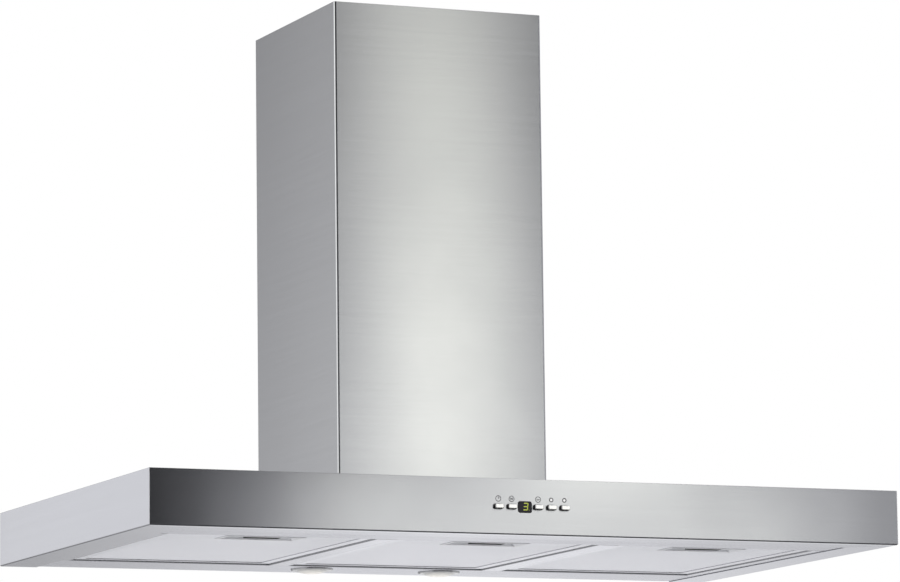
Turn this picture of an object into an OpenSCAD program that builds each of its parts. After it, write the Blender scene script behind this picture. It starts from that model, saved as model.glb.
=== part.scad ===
// Wall-mounted canopy range hood with a telescopic chimney.
// Origin: on the wall plane, in the middle of the width, level with the two wall screws.
// X runs to the right seen from the front, Y towards the wall, Z up.

/* [Canopy] */
// Width of the canopy
canopy_w = 900; // [880:10:1000]
// Depth of the canopy from the wall to its front face
canopy_d = 520; // [500:5:600]
// Height of the canopy's front and sides
canopy_h = 62; // [58:1:80]
// Thickness of the stainless outer sheet
sheet_t = 1; // [0.8:0.1:1.4]
// Outer radius of the folds in the canopy's sheets
fold_r = 1.8; // [1.6:0.1:3]
// Width of the flange folded under at the front and the sides
return_w = 44; // [30:1:46]
// Width of the flange folded over the lamp panel at the back
back_return_w = 12; // [8:1:20]
// Gap where a sheet or piece slides in beside another
seat_gap = 0.3; // [0.2:0.05:0.5]
// Distance between the two wall screw holes
wall_hole_spacing = 760; // [600:10:800]
// Radius of a wall screw hole
wall_hole_r = 4; // [3:0.5:5]

/* [Underside frame] */
// Thickness of the pressed frame sheet
frame_t = 1; // [0.8:0.1:1.4]
// Depth of the rear panel that carries the lamps
lamp_panel_d = 80; // [78:1:110]
// Height of the turned-up walls round each filter bay
bay_wall_h = 14; // [13:0.5:18]
// Width of a divider between two filter bays
divider_w = 26; // [20:1:30]
// Width of a side rail that shows between the folded flange and a filter bay
side_show = 14; // [10:1:40]
// Width of the front rail that shows between the folded flange and the filter bays
front_show = 55; // [40:1:80]
// Distance from the canopy's front face to the front rail's hidden edge
rail_inset = 8; // [6:1:12]

/* [Grease filters] */
// Thickness of a filter
filter_t = 9; // [8.5:0.5:10]
// Height of the filters' lower face above the canopy's lower edge
filter_recess = 2.5; // [2:0.5:5]
// Gap round a filter in its bay
filter_gap = 2; // [1.5:0.5:3]
// Width of the filter frame's rim
filter_rim = 12; // [9:1:16]
// Thickness of the filter frame's sheet
filter_sheet = 0.8; // [0.6:0.1:1]
// Thickness of each expanded mesh sheet
mesh_t = 0.8; // [0.6:0.1:1]
// Distance from fold to fold in the corrugated mesh layer
fold_pitch = 12; // [8:1:20]
// Radius of a filter's pivot pin
pivot_r = 2; // [1.5:0.1:2.2]
// Clearance round a pivot pin in its hole
pivot_play = 0.08; // [0.05:0.01:0.1]

/* [Filter handles] */
// Length of the finger recess across the filter
cup_w = 88; // [80:1:100]
// Depth of the finger recess from front to back
cup_l = 32; // [30:1:40]
// Distance from the filter's front edge to the middle of the recess
cup_inset = 40; // [38:1:60]
// How much shorter the recess is at its ceiling, at each end
cup_slant = 8; // [4:1:10]
// Length of the latch's finger bar
grip_w = 40; // [30:1:50]
// Width of the latch's finger bar from front to back
grip_l = 16; // [6:0.5:16]
// Width of the latch bolt
bolt_w = 16; // [12:1:20]
// Thickness of the latch bolt
bolt_t = 2.4; // [2:0.1:2.6]
// How far the bolt reaches past the bay wall that holds it
bolt_reach = 2.5; // [2:0.5:3]

/* [Lamps] */
// Distance between the middles of the two lamps
lamp_spacing = 162; // [140:1:200]
// Distance from the wall to the lamps' middles
lamp_y = 48; // [45:1:50]
// Outer radius of a lamp's metal ring
lamp_ring_r = 25; // [24:0.5:28]
// Radius of the domed glass
lamp_glass_r = 19; // [17:0.5:20]
// How far the glass hangs below the ring's seat
lamp_drop = 6; // [5:0.5:8]
// Height of the reflector
reflector_h = 25; // [20:1:28]

/* [Controls] */
// Sideways place of the control group's middle
control_x = -4; // [-10:1:10]
// Distance from one control to the next
control_pitch = 15.9; // [15:0.1:18]
// Width of a button cap
button_w = 10; // [8:0.5:11]
// Height of a button cap
button_h = 5; // [4:0.5:7]
// How far a button cap stands out
button_proud = 5; // [4:0.5:7]
// Travel of a button
button_travel = 2; // [1.5:0.1:2.5]
// Corner radius of a button cap
button_corner = 1.2; // [0.8:0.1:1.5]
// Width of the display window
display_w = 16; // [14:0.1:17]
// Height of the display window
display_h = 12; // [10:0.5:14]
// Corner radius of the display window
display_corner = 2.6; // [2:0.1:3]
// How far the display window stands out
display_proud = 0.6; // [0.4:0.1:1]
// Depth of the button guide behind the front panel
guide_d = 9; // [8:0.5:12]
// Height of the button guide
guide_h = 26; // [22:1:30]

/* [Chimney] */
// Width of the lower chimney
chimney_w = 260; // [256:1:300]
// Depth of the lower chimney from the wall
chimney_d = 260; // [256:1:300]
// Height of the lower chimney above the canopy
chimney_h = 578; // [540:1:700]
// Thickness of the chimney sheet
duct_t = 1; // [0.8:0.1:1.2]
// Outer radius of the chimney's bent corners
bend_r = 2.5; // [1.5:0.5:5]
// Gap between the two nested chimney sections
nest_gap = 0.5; // [0.3:0.1:1]
// Height of the upper chimney's lower edge above the canopy
upper_rise = 56; // [40:1:100]
// How far the upper chimney's top edge lies below the lower one's
upper_drop = 2; // [1:1:10]
// Width of the flanges along the chimney's open back
duct_flange_w = 15; // [12:1:20]
// Length of a recirculation slot
slot_l = 70; // [50:1:90]
// Width of a recirculation slot
slot_w = 5; // [4:0.5:7]
// Distance from slot to slot
slot_pitch = 12; // [10:1:15]
// Number of slots on each side
slot_count = 8; // [4:1:9]

/* [Upper bracket] */
// Height of the wall bracket
bracket_h = 40; // [30:1:50]
// Thickness of the wall bracket
bracket_t = 1.5; // [1.2:0.1:2]
// Half the width of the bracket's wall plate
bracket_half = 105; // [95:1:108]
// Distance between the bracket's two screw holes
bracket_hole_spacing = 160; // [120:10:180]
// Radius of a bracket screw hole
bracket_hole_r = 3; // [2.5:0.5:4]

/* [Blower box] */
// Gap between the chimney's outer face and the blower box
box_inset = 12; // [10:1:15]
// Height of the blower box above the canopy
box_h = 228; // [222:1:260]
// Thickness of the blower box's sheet
box_t = 1.2; // [1:0.1:1.5]
// Width of the box's foot flange
box_foot = 6; // [5:0.5:6]
// Side of the square air opening in the canopy's top
air_opening = 200; // [180:1:210]
// Corner radius of the air opening
air_corner = 12; // [8:1:20]
// Distance from one screw of the foot flange to the next
foot_screw_pitch = 80; // [60:5:90]
// Radius of a foot screw's head
foot_screw_r = 2.4; // [2:0.1:2.8]

/* [Blower] */
// Outer radius of the impeller
impeller_r = 62; // [56:1:63]
// Radial depth of a blade
blade_depth = 11; // [9:0.5:12]
// Number of blades
blade_count = 36; // [24:1:40]
// Thickness of a blade
blade_t = 1; // [0.8:0.1:1.4]
// Angle that a blade leans forward over its depth
blade_sweep = 9; // [5:1:12]
// Length of the impeller along its axis
impeller_l = 104; // [90:1:105]
// Radius of the motor shaft
shaft_r = 4; // [3:0.5:5]
// Gap between the impeller and the scroll's tongue
tongue_gap = 5; // [4:0.5:7]
// How much the scroll's radius grows from its tongue to its outlet
scroll_growth = 29; // [24:1:30]
// How far behind the impeller's axis the outlet's front wall stands
tongue_y = 18.5; // [16:0.5:20]
// Gap between each end of the impeller and the scroll's side
impeller_side_gap = 3; // [2:0.5:5]
// Thickness of the scroll's sheet
scroll_t = 1.2; // [1:0.1:1.5]
// Height of the scroll's lowest point above the canopy's top
scroll_lift = 10; // [6:1:15]
// Gap between the scroll's front and the blower box
scroll_front_gap = 4; // [2:0.5:8]
// Height of the scroll's outlet above the impeller's axis
outlet_rise = 75; // [73:1:78]
// Radius of the air inlets at both sides of the scroll
inlet_r = 50; // [46:1:51]
// Radius of the bell mouth round an inlet
bell_r = 4; // [3:0.5:4.5]
// Radius of the motor
motor_r = 36; // [32:1:38]
// Length of the motor
motor_l = 56; // [50:1:60]

/* [Outlet] */
// Outer radius of the duct collar
collar_r = 75; // [70:1:76]
// Wall of the duct collar
collar_t = 1.5; // [1.2:0.1:2]
// Height of the duct collar
collar_h = 45; // [35:1:55]
// Width of the flange round the collar's base
collar_flange_w = 13; // [9:1:15]
// Radius of the damper's spindle
spindle_r = 1.5; // [1.2:0.1:2]
// Height of the spindle above the blower box
spindle_h = 9; // [8:0.5:12]
// Thickness of a damper flap
flap_t = 1.2; // [1:0.1:1.5]
// Gap between a flap and the collar
flap_gap = 1; // [0.8:0.1:1.5]
// Bore radius of the cable gland
gland_bore_r = 4.2; // [3.5:0.1:5]
// Distance from the blower box's two walls to the gland's middle
gland_inset = 26; // [20:1:30]

/* [Electrics] */
// Width of the housing of the mains terminals
mains_w = 150; // [120:5:180]
// Depth of that housing from the wall
mains_d = 82; // [78:1:84]
// Height of that housing
mains_h = 40; // [36:1:42]
// Distance from the canopy's right side to that housing
mains_inset = 150; // [120:5:170]
// Width of the transformer's core
core_w = 48; // [40:1:56]
// Depth of the transformer's core
core_d = 20; // [16:1:24]
// Height of the transformer's core
core_h = 36; // [30:1:40]
// Distance from the canopy's left side to the transformer's middle
core_inset = 220; // [180:5:240]
// Radius of a lead's jacket
lead_r = 2.2; // [1.8:0.1:2.4]

/* [Hidden] */
// Facets of round shapes, and of round ends inside a blended form
$fn = 96;
blend_fn = 32;
// Overlap that lets a cut run clear through a wall
cut = 1;

// Levels of the canopy
under_z = -canopy_h / 2;
top_z = canopy_h / 2;
frame_z = under_z + sheet_t;
frame_top_z = frame_z + frame_t;
inner_x = canopy_w / 2 - max(sheet_t, fold_r) - seat_gap;

// Three filter bays side by side, which fill what the rails and the lamp panel leave
bays_half = canopy_w / 2 - return_w - side_show;
bay_w = (2 * bays_half - 2 * divider_w) / 3;
bay_pitch = bay_w + divider_w;
bay_front_y = -canopy_d + return_w + front_show;

// Filters: each one's own frame has its rear edge at y = 0 and its lower face at z = 0
filter_w = bay_w - 2 * filter_gap;
filter_l = -lamp_panel_d - bay_front_y - 2 * filter_gap;
filter_y = -lamp_panel_d - filter_gap;
filter_z = under_z + filter_recess;
filter_mid = filter_t / 2;
pocket_w = filter_w - 2 * filter_sheet;
pocket_rear = filter_mid + pivot_r + 1;
mesh_fit = 0.3;

// Finger recess and latch in the filter's own frame
cup_sheet = 0.8;
cup_top = filter_t - filter_sheet - mesh_t - mesh_fit;
cup_lip = 3;
cup_front_y = -filter_l + cup_inset - cup_l / 2;
cup_rear_y = cup_front_y + cup_l;
bolt_z = filter_mid - bolt_t / 2 - 0.3;
bolt_tip_y = -filter_l - filter_gap - frame_t - bolt_reach;
grip_y = cup_front_y + cup_sheet + 0.7;
window_side = 1.5;
window_above = 1;

// Lamps
lamp_x = lamp_spacing / 2;
lamp_hole_r = lamp_ring_r - 2;
ring_seat_z = frame_z;
ring_t = 2.2;
ring_lip_z = 0.6;
glass_back_z = 0.9;

// Controls: six places in a row, the third from the left is the display
control_places = [-2.5, -1.5, -0.5, 0.5, 1.5, 2.5];
display_place = control_places[2];
button_places = [for (k = [0, 1, 3, 4, 5]) control_places[k]];
panel_in_y = -canopy_d + sheet_t;
guide_w = 6 * control_pitch + 14;
button_fit = 0.3;
button_flange = 1;
button_flange_t = 1.5;
board_t = 1.6;
switch_h = 1.2;
window_d = 1.4;

// Chimney
duct_y = -chimney_d / 2;
lower_top = top_z + chimney_h;
upper_top = lower_top - upper_drop;
upper_h = chimney_h - upper_drop - upper_rise;
upper_inset = duct_t + nest_gap;
upper_half = chimney_w / 2 - upper_inset;
upper_front_y = -chimney_d + upper_inset;
upper_back_y = -upper_inset;

// Blower box, which stands in the chimney
box_w = chimney_w - 2 * box_inset;
box_d = chimney_d - 2 * box_inset;
box_top = top_z + box_h;

// Blower, whose scroll starts beside the tongue and grows to the outlet
scroll_r = impeller_r + tongue_gap;
scroll_w = impeller_l + 2 * impeller_side_gap;
tongue_angle = acos(tongue_y / scroll_r);
axis_y = -chimney_d + box_inset + box_t + scroll_front_gap + scroll_radius(180) + scroll_t;
axis_z = top_z + scroll_lift + scroll_radius(270) + scroll_t;
cheek_x = scroll_w / 2;
disc_x = 4;
disc_t = 2;
hub_r = 9;
hub_l = 18;
bracket_t_axial = 2;
bracket_x = -cheek_x - bell_r - 3;
motor_bell = 6;
motor_front_x = bracket_x + motor_l - motor_bell - 1;
spider_reach = inlet_r + bell_r + 7;

// Damper
collar_in_r = collar_r - collar_t;
collar_flange_r = collar_r + collar_flange_w;
spindle_z = box_top + spindle_h;
flap_r = collar_in_r - flap_gap;
knuckle_r = spindle_r + 1.6;
knuckle_play = 0.08;
knuckle_l = 21;
knuckle_starts = [-51, 3];

// Cable gland
gland_x = box_w / 2 - gland_inset;
gland_y = duct_y + box_d / 2 - gland_inset;
gland_thread_r = 6;

// Electrics under the canopy's top
roof_z = top_z - sheet_t;
mains_x = canopy_w / 2 - mains_inset - mains_w;
mains_gland_l = 7;
mains_gland_z = roof_z - mains_h + 18;
core_x = -canopy_w / 2 + core_inset;
core_y = -44;
winding_w = 32;
winding_h = 22;
winding_d = 34;
winding_z = roof_z - 19;
socket_top_z = ring_seat_z + reflector_h + 10;

// Flat rectangle with round corners, centred
module round_rect(w, h, r) {
    square([w - 2 * r, h], center = true);
    square([w, h - 2 * r], center = true);
    for (sx = [-1, 1])
        for (sy = [-1, 1])
            translate([sx * (w / 2 - r), sy * (h / 2 - r)])
                circle(r);
}

// Slab standing behind the XZ plane, from y0 for a depth d, with an outline w by h
module face_slab(w, h, r, y0, d) {
    translate([0, y0 + d, 0])
        rotate([90, 0, 0])
            linear_extrude(d)
                round_rect(w, h, r);
}

// Box given by its low and high corners
module span(low, high) {
    translate(low)
        cube(high - low);
}

// Extrudes a YZ outline along X from x0 for a length
module along_x(x0, length) {
    translate([x0, 0, 0])
        rotate([90, 0, 90])
            linear_extrude(length)
                children();
}

// Place of a control on the front panel
module at_control(place) {
    translate([control_x + place * control_pitch, 0, 0])
        children();
}

// Rectangle from the origin to (w, h) with a round corner at the origin
module corner_block(w, h, r) {
    translate([r, 0])
        square([w - r, h]);
    translate([0, r])
        square([w, h - r]);
    translate([r, r])
        circle(r);
}

// Section of a sheet folded once: a wall up from the origin and a foot to the right of it
module folded_section(foot, wall, t, r) {
    difference() {
        corner_block(foot, wall, r);
        translate([t, t])
            corner_block(foot, wall, r - t);
    }
}

// Wedge that mitres a panel's end at the canopy's front left corner, on the side's part of the corner
// or, turned over, on the front's part
module mitre_wedge(side_part) {
    far = return_w + cut;
    translate([-canopy_w / 2, -canopy_d, under_z - cut])
        linear_extrude(canopy_h + 2 * cut)
            polygon([[-cut, -cut], [far, far], side_part ? [-cut, far] : [far, -cut]]);
}

module front_panel() {
    color("gainsboro")
        difference() {
            along_x(-canopy_w / 2, canopy_w)
                translate([-canopy_d, under_z])
                    folded_section(return_w, canopy_h, sheet_t, fold_r);
            for (side = [0, 1])
                mirror([side, 0, 0])
                    mitre_wedge(true);
            for (place = button_places)
                at_control(place)
                    face_slab(button_w + 2 * button_fit, button_h + 2 * button_fit, button_corner,
                        -canopy_d - cut, sheet_t + 2 * cut);
            at_control(display_place)
                face_slab(display_w + 2 * button_fit, display_h + 2 * button_fit, display_corner,
                    -canopy_d - cut, sheet_t + 2 * cut);
        }
}

// Side of the canopy, drawn for the left
module side_panel() {
    color("lightsteelblue")
        difference() {
            rotate([90, 0, 0])
                linear_extrude(canopy_d)
                    translate([-canopy_w / 2, under_z])
                        folded_section(return_w, canopy_h, sheet_t, fold_r);
            mitre_wedge(false);
        }
}

module side_panel_left() {
    side_panel();
}

module side_panel_right() {
    mirror([1, 0, 0])
        side_panel();
}

module top_plate() {
    color("silver")
        difference() {
            span([-canopy_w / 2 + sheet_t, panel_in_y, top_z - sheet_t],
                [canopy_w / 2 - sheet_t, -sheet_t, top_z]);
            translate([0, duct_y, top_z - sheet_t - cut])
                linear_extrude(sheet_t + 2 * cut)
                    round_rect(air_opening, air_opening, air_corner);
        }
}

module back_plate() {
    color("silver")
        difference() {
            union() {
                span([-canopy_w / 2 + sheet_t, -sheet_t, frame_top_z], [canopy_w / 2 - sheet_t, 0, top_z]);
                span([-inner_x, -back_return_w, frame_top_z], [inner_x, 0, frame_top_z + sheet_t]);
            }
            for (side = [-1, 1])
                translate([side * wall_hole_spacing / 2, cut, 0])
                    rotate([90, 0, 0])
                        cylinder(h = sheet_t + 2 * cut, r = wall_hole_r);
        }
}

// Rear part of the underside, with the two lamp holes and the rear wall of the bays
module lamp_panel() {
    color("gainsboro")
        difference() {
            along_x(-inner_x, 2 * inner_x)
                translate([-lamp_panel_d, frame_z])
                    folded_section(lamp_panel_d, bay_wall_h, frame_t, fold_r);
            for (side = [-1, 1])
                translate([side * lamp_x, -lamp_y, frame_z - cut])
                    cylinder(h = frame_t + 2 * cut, r = lamp_hole_r);
        }
}

// Front part of the underside, with one bolt window for each filter
module front_rail() {
    color("gainsboro")
        difference() {
            along_x(-inner_x, 2 * inner_x)
                translate([bay_front_y, frame_z])
                    mirror([1, 0])
                        folded_section(bay_front_y + canopy_d - rail_inset, bay_wall_h, frame_t, fold_r);
            for (bay = [-1, 0, 1])
                translate([bay * bay_pitch, bay_front_y, filter_z + bolt_z])
                    span([-bolt_w / 2 - window_side, -frame_t - cut, -mesh_fit],
                        [bolt_w / 2 + window_side, cut, bolt_t + window_above]);
        }
}

// Hole for a filter's pivot pin in a wall that stands across X at x0
module pivot_hole(x0) {
    translate([x0 - cut, filter_y - filter_mid, filter_z + filter_mid])
        rotate([0, 90, 0])
            cylinder(h = frame_t + 2 * cut, r = pivot_r + pivot_play);
}

// Section, drawn in the XZ plane, that runs from the front rail to the lamp panel
module along_bay() {
    translate([0, -lamp_panel_d, 0])
        rotate([90, 0, 0])
            linear_extrude(-lamp_panel_d - bay_front_y)
                children();
}

// Side of the frame beside the outer bay, drawn for the right
module side_rail() {
    color("gainsboro")
        difference() {
            along_bay()
                translate([bays_half, frame_z])
                    folded_section(inner_x - bays_half, bay_wall_h, frame_t, fold_r);
            pivot_hole(bays_half);
        }
}

module side_rail_left() {
    mirror([1, 0, 0])
        side_rail();
}

module side_rail_right() {
    side_rail();
}

// Channel between two bays, folded along both edges, drawn at x = 0
module divider() {
    color("gainsboro")
        difference() {
            along_bay()
                translate([0, frame_z])
                    for (side = [0, 1])
                        mirror([side, 0])
                            translate([-divider_w / 2, 0])
                                folded_section(divider_w / 2 + frame_t, bay_wall_h, frame_t, fold_r);
            pivot_hole(-divider_w / 2);
            pivot_hole(divider_w / 2 - frame_t);
        }
}

module divider_left() {
    translate([-bay_pitch / 2, 0, 0])
        divider();
}

module divider_right() {
    translate([bay_pitch / 2, 0, 0])
        divider();
}

// Metal ring that holds a lamp's glass, under the lamp panel
module lamp_ring() {
    color("silver")
        translate([0, -lamp_y, ring_seat_z])
            rotate_extrude()
                polygon([
                    [lamp_glass_r + 0.3, -ring_t],
                    [lamp_ring_r - 1.2, -ring_t],
                    [lamp_ring_r, -ring_t + 1],
                    [lamp_ring_r, 0],
                    [lamp_hole_r - 0.3, 0],
                    [lamp_hole_r - 0.3, frame_t + 3],
                    [lamp_hole_r - 1.5, frame_t + 3],
                    [lamp_hole_r - 1.5, -ring_lip_z],
                    [lamp_glass_r + 0.3, -ring_lip_z]
                ]);
}

// Domed glass, a cap of a sphere with a flat rim behind the ring
module lamp_glass() {
    glass_front_z = -ring_lip_z + 0.05;
    glass_rim = 1.6;
    glass_rise = lamp_drop - ring_t;
    cap_r = (lamp_glass_r * lamp_glass_r + glass_rise * glass_rise) / (2 * glass_rise);
    cap_angle = asin(lamp_glass_r / cap_r);
    color("lightyellow")
        translate([0, -lamp_y, ring_seat_z])
            rotate_extrude()
                polygon(concat(
                    [
                        [0, glass_back_z],
                        [lamp_glass_r + glass_rim, glass_back_z],
                        [lamp_glass_r + glass_rim, glass_front_z],
                        [lamp_glass_r, glass_front_z]
                    ],
                    [for (step = [0 : 8])
                        let (a = cap_angle * (1 - step / 8))
                            [cap_r * sin(a), -lamp_drop + cap_r * (1 - cos(a))]]
                ));
}

module lamp_ring_left() {
    translate([-lamp_x, 0, 0])
        lamp_ring();
}

module lamp_ring_right() {
    translate([lamp_x, 0, 0])
        lamp_ring();
}

module lamp_glass_left() {
    translate([-lamp_x, 0, 0])
        lamp_glass();
}

module lamp_glass_right() {
    translate([lamp_x, 0, 0])
        lamp_glass();
}

// Bright cups behind the lamp glasses, each on a flange over its ring
module lamp_reflectors() {
    mouth_r = lamp_hole_r - 1.8;
    mouth_z = glass_back_z + 0.3;
    flange_z = frame_t + 3 + 0.3;
    neck_r = 7.5;
    wall = 0.8;
    color("whitesmoke")
        for (side = [-1, 1])
            translate([side * lamp_x, -lamp_y, ring_seat_z])
                rotate_extrude()
                    polygon(concat(
                        [[mouth_r, mouth_z], [mouth_r, flange_z], [lamp_ring_r + 1, flange_z],
                            [lamp_ring_r + 1, flange_z + wall], [mouth_r, flange_z + wall]],
                        [for (step = [1 : 8])
                            let (a = 90 * step / 8)
                                [neck_r + (mouth_r - neck_r) * cos(a),
                                    flange_z + wall + (reflector_h - flange_z - wall) * sin(a)]],
                        [for (step = [8 : -1 : 1])
                            let (a = 90 * step / 8)
                                [neck_r - wall + (mouth_r - neck_r) * cos(a),
                                    flange_z + (reflector_h - flange_z - wall) * sin(a)]],
                        [[mouth_r - wall, mouth_z]]
                    ));
}

// Halogen capsules, each in its ceramic socket above the reflector
module lamp_bulbs() {
    capsule_r = 4.5;
    socket_r = 6.4;
    color("white")
        for (side = [-1, 1])
            translate([side * lamp_x, -lamp_y, ring_seat_z]) {
                translate([0, 0, reflector_h - 10])
                    cylinder(h = 20, r = socket_r);
                translate([0, 0, 9])
                    cylinder(h = reflector_h - 18, r = capsule_r);
                translate([0, 0, 9])
                    sphere(capsule_r, $fn = 48);
            }
}

// Push button: cap with eased edges, a flange that holds it behind the panel, and a stem
module button() {
    ease = 0.8;
    stem_end_y = panel_in_y + guide_d - switch_h - button_travel - button_fit;
    color("white") {
        hull() {
            face_slab(button_w, button_h, button_corner,
                -canopy_d - button_proud + ease, button_proud - ease, $fn = blend_fn);
            face_slab(button_w - 2 * ease, button_h - 2 * ease, button_corner - 0.6,
                -canopy_d - button_proud, ease, $fn = blend_fn);
        }
        face_slab(button_w, button_h, button_corner, -canopy_d - 0.1, sheet_t + button_fit + 0.2);
        face_slab(button_w + 2 * button_flange, button_h + 2 * button_flange, button_corner,
            panel_in_y + button_fit, button_flange_t);
        face_slab(button_w - 3, button_h - 2, 1, panel_in_y + button_fit + button_flange_t - 0.1,
            stem_end_y - panel_in_y - button_fit - button_flange_t + 0.1);
    }
}

module button_timer() {
    at_control(button_places[0])
        button();
}

module button_fan() {
    at_control(button_places[1])
        button();
}

module button_minus() {
    at_control(button_places[2])
        button();
}

module button_plus() {
    at_control(button_places[3])
        button();
}

module button_light() {
    at_control(button_places[4])
        button();
}

// Moulded guide behind the front panel, with a well for each button and one for the display
module button_guide() {
    well = 2 * (button_flange + button_fit);
    color("dimgray")
        difference() {
            translate([control_x, 0, 0])
                face_slab(guide_w, guide_h, 2, panel_in_y, guide_d);
            for (place = button_places)
                at_control(place)
                    face_slab(button_w + well, button_h + well, button_corner,
                        panel_in_y - cut, guide_d + 2 * cut);
            at_control(display_place)
                face_slab(display_w + 2 * button_fit, display_h + 2 * button_fit, display_corner,
                    panel_in_y - cut, guide_d + 2 * cut);
        }
}

// Circuit board behind the guide, with a switch for each button
module control_board() {
    board_y = panel_in_y + guide_d;
    color("darkgreen") {
        translate([control_x, 0, 0])
            face_slab(guide_w, guide_h, 1, board_y, board_t);
        for (place = button_places)
            at_control(place) {
                face_slab(6, 5, 0.5, board_y - switch_h + 0.4, switch_h - 0.4 + 0.1);
                translate([0, board_y, 0])
                    rotate([90, 0, 0])
                        cylinder(h = switch_h, r = 1.6);
            }
        translate([control_x, 0, 0])
            face_slab(24, 8, 1, board_y + board_t - 0.1, 7);
    }
}

module display_window() {
    color("black")
        at_control(display_place)
            face_slab(display_w, display_h, display_corner,
                -canopy_d - display_proud, display_proud + sheet_t + window_d);
}

module display_module() {
    module_y = panel_in_y + window_d;
    color("darkslategray")
        at_control(display_place)
            face_slab(display_w - 1, display_h - 1, 1, module_y, guide_d - window_d);
}

// Moves what is drawn in a filter's own frame to its bay
module at_bay(bay) {
    translate([bay * bay_pitch, filter_y, filter_z])
        children();
}

// Rolled frame: a rim of C section, a round rear edge and a pivot pin at each side of it
module filter_frame() {
    pin_reach = filter_w / 2 + filter_gap + frame_t + 0.8;
    color("lightgray")
        difference() {
            union() {
                span([-filter_w / 2, -filter_l, 0], [filter_w / 2, -filter_mid, filter_t]);
                translate([-filter_w / 2, -filter_mid, filter_mid])
                    rotate([0, 90, 0])
                        cylinder(h = filter_w, r = filter_mid);
                translate([-pin_reach, -filter_mid, filter_mid])
                    rotate([0, 90, 0])
                        cylinder(h = 2 * pin_reach, r = pivot_r);
            }
            span([-pocket_w / 2, -filter_l + filter_sheet, filter_sheet],
                [pocket_w / 2, -pocket_rear, filter_t - filter_sheet]);
            span([-filter_w / 2 + filter_rim, -filter_l + filter_rim, -cut],
                [filter_w / 2 - filter_rim, -filter_rim, filter_t + cut]);
            span([-bolt_w / 2 - mesh_fit, -filter_l - cut, bolt_z - mesh_fit],
                [bolt_w / 2 + mesh_fit, -filter_l + filter_rim + cut, bolt_z + bolt_t + mesh_fit]);
        }
}

// Corrugated layer's fold line, seen along X
function fold_line(count, low, high) =
    [for (k = [0 : count]) [-k * fold_pitch / 2, k % 2 == 0 ? low : high]];

// Mesh pack: an expanded sheet below and above, and a corrugated one between them
module filter_mesh() {
    side = pocket_w / 2 - mesh_fit;
    front_y = -filter_l + filter_sheet + mesh_fit;
    rear_y = -pocket_rear - mesh_fit;
    low_z = filter_sheet;
    high_z = filter_t - filter_sheet - mesh_t;
    layer_t = 0.5;
    layer_low = low_z + mesh_t + 0.1;
    layer_high = high_z - 0.1 - layer_t;
    count = floor((rear_y - front_y - 2 * layer_t) / (fold_pitch / 2));
    line = fold_line(count, layer_low, layer_high);
    upper_line = [for (k = [count : -1 : 0]) line[k] + [0, layer_t]];
    color("darkgray") {
        difference() {
            span([-side, front_y, low_z], [side, rear_y, low_z + mesh_t]);
            span([-cup_w / 2 - mesh_fit, cup_front_y - mesh_fit, low_z - cut],
                [cup_w / 2 + mesh_fit, cup_rear_y + mesh_fit, low_z + mesh_t + cut]);
        }
        span([-side, front_y, high_z], [side, rear_y, high_z + mesh_t]);
        difference() {
            translate([-side, rear_y - layer_t, 0])
                rotate([90, 0, 90])
                    linear_extrude(2 * side)
                        polygon(concat(line, upper_line));
            span([-cup_w / 2 - 1, front_y - cut, 0], [cup_w / 2 + 1, cup_rear_y + 1, filter_t]);
        }
    }
}

// Outline of the recess seen from the front, smaller by inset all round
module cup_outline(inset) {
    polygon([
        [-cup_w / 2 + inset, 0],
        [cup_w / 2 - inset, 0],
        [cup_w / 2 - cup_slant - inset, cup_top - inset],
        [-cup_w / 2 + cup_slant + inset, cup_top - inset]
    ]);
}

// Pressed finger recess with slanted ends, open below
module handle_cup() {
    color("silver")
        difference() {
            union() {
                translate([0, cup_rear_y, 0])
                    rotate([90, 0, 0])
                        linear_extrude(cup_l)
                            cup_outline(0);
                span([-cup_w / 2 - cup_lip, cup_front_y - cup_lip, 0],
                    [cup_w / 2 + cup_lip, cup_rear_y + cup_lip, filter_sheet]);
            }
            translate([0, cup_rear_y - cup_sheet, -0.01])
                rotate([90, 0, 0])
                    linear_extrude(cup_l - 2 * cup_sheet)
                        cup_outline(cup_sheet);
            span([-bolt_w / 2 - mesh_fit, cup_front_y - cut, bolt_z - mesh_fit],
                [bolt_w / 2 + mesh_fit, cup_front_y + cup_sheet + cut, bolt_z + bolt_t + mesh_fit]);
        }
}

// Sliding latch: a finger bar in the recess and a bolt that reaches into the front rail
module latch() {
    bar_low = 0.2;
    bar_high = cup_top - cup_sheet - mesh_fit;
    bevel = 1.2;
    color("black") {
        span([-grip_w / 2, grip_y, bar_low], [grip_w / 2, grip_y + grip_l, bar_high]);
        translate([-bolt_w / 2, 0, 0])
            rotate([90, 0, 90])
                linear_extrude(bolt_w)
                    polygon([
                        [bolt_tip_y, bolt_z],
                        [grip_y + cut, bolt_z],
                        [grip_y + cut, bolt_z + bolt_t],
                        [bolt_tip_y + bevel, bolt_z + bolt_t],
                        [bolt_tip_y, bolt_z + bolt_t - bevel]
                    ]);
    }
}

// Blower box: five walls, open below, with a foot flange on the canopy's top
module airbox() {
    color("lightgray")
        difference() {
            union() {
                translate([0, duct_y, top_z])
                    linear_extrude(box_h)
                        square([box_w, box_d], center = true);
                translate([0, duct_y, top_z])
                    linear_extrude(box_t)
                        square([box_w + 2 * box_foot, box_d + 2 * box_foot], center = true);
            }
            translate([0, duct_y, top_z - cut])
                linear_extrude(box_h - box_t + cut)
                    square([box_w - 2 * box_t, box_d - 2 * box_t], center = true);
            translate([0, duct_y, box_top - box_t - cut])
                cylinder(h = box_t + 2 * cut, r = collar_in_r);
            translate([gland_x, gland_y, box_top - box_t - cut])
                cylinder(h = box_t + 2 * cut, r = gland_thread_r + 0.2);
        }
}

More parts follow.
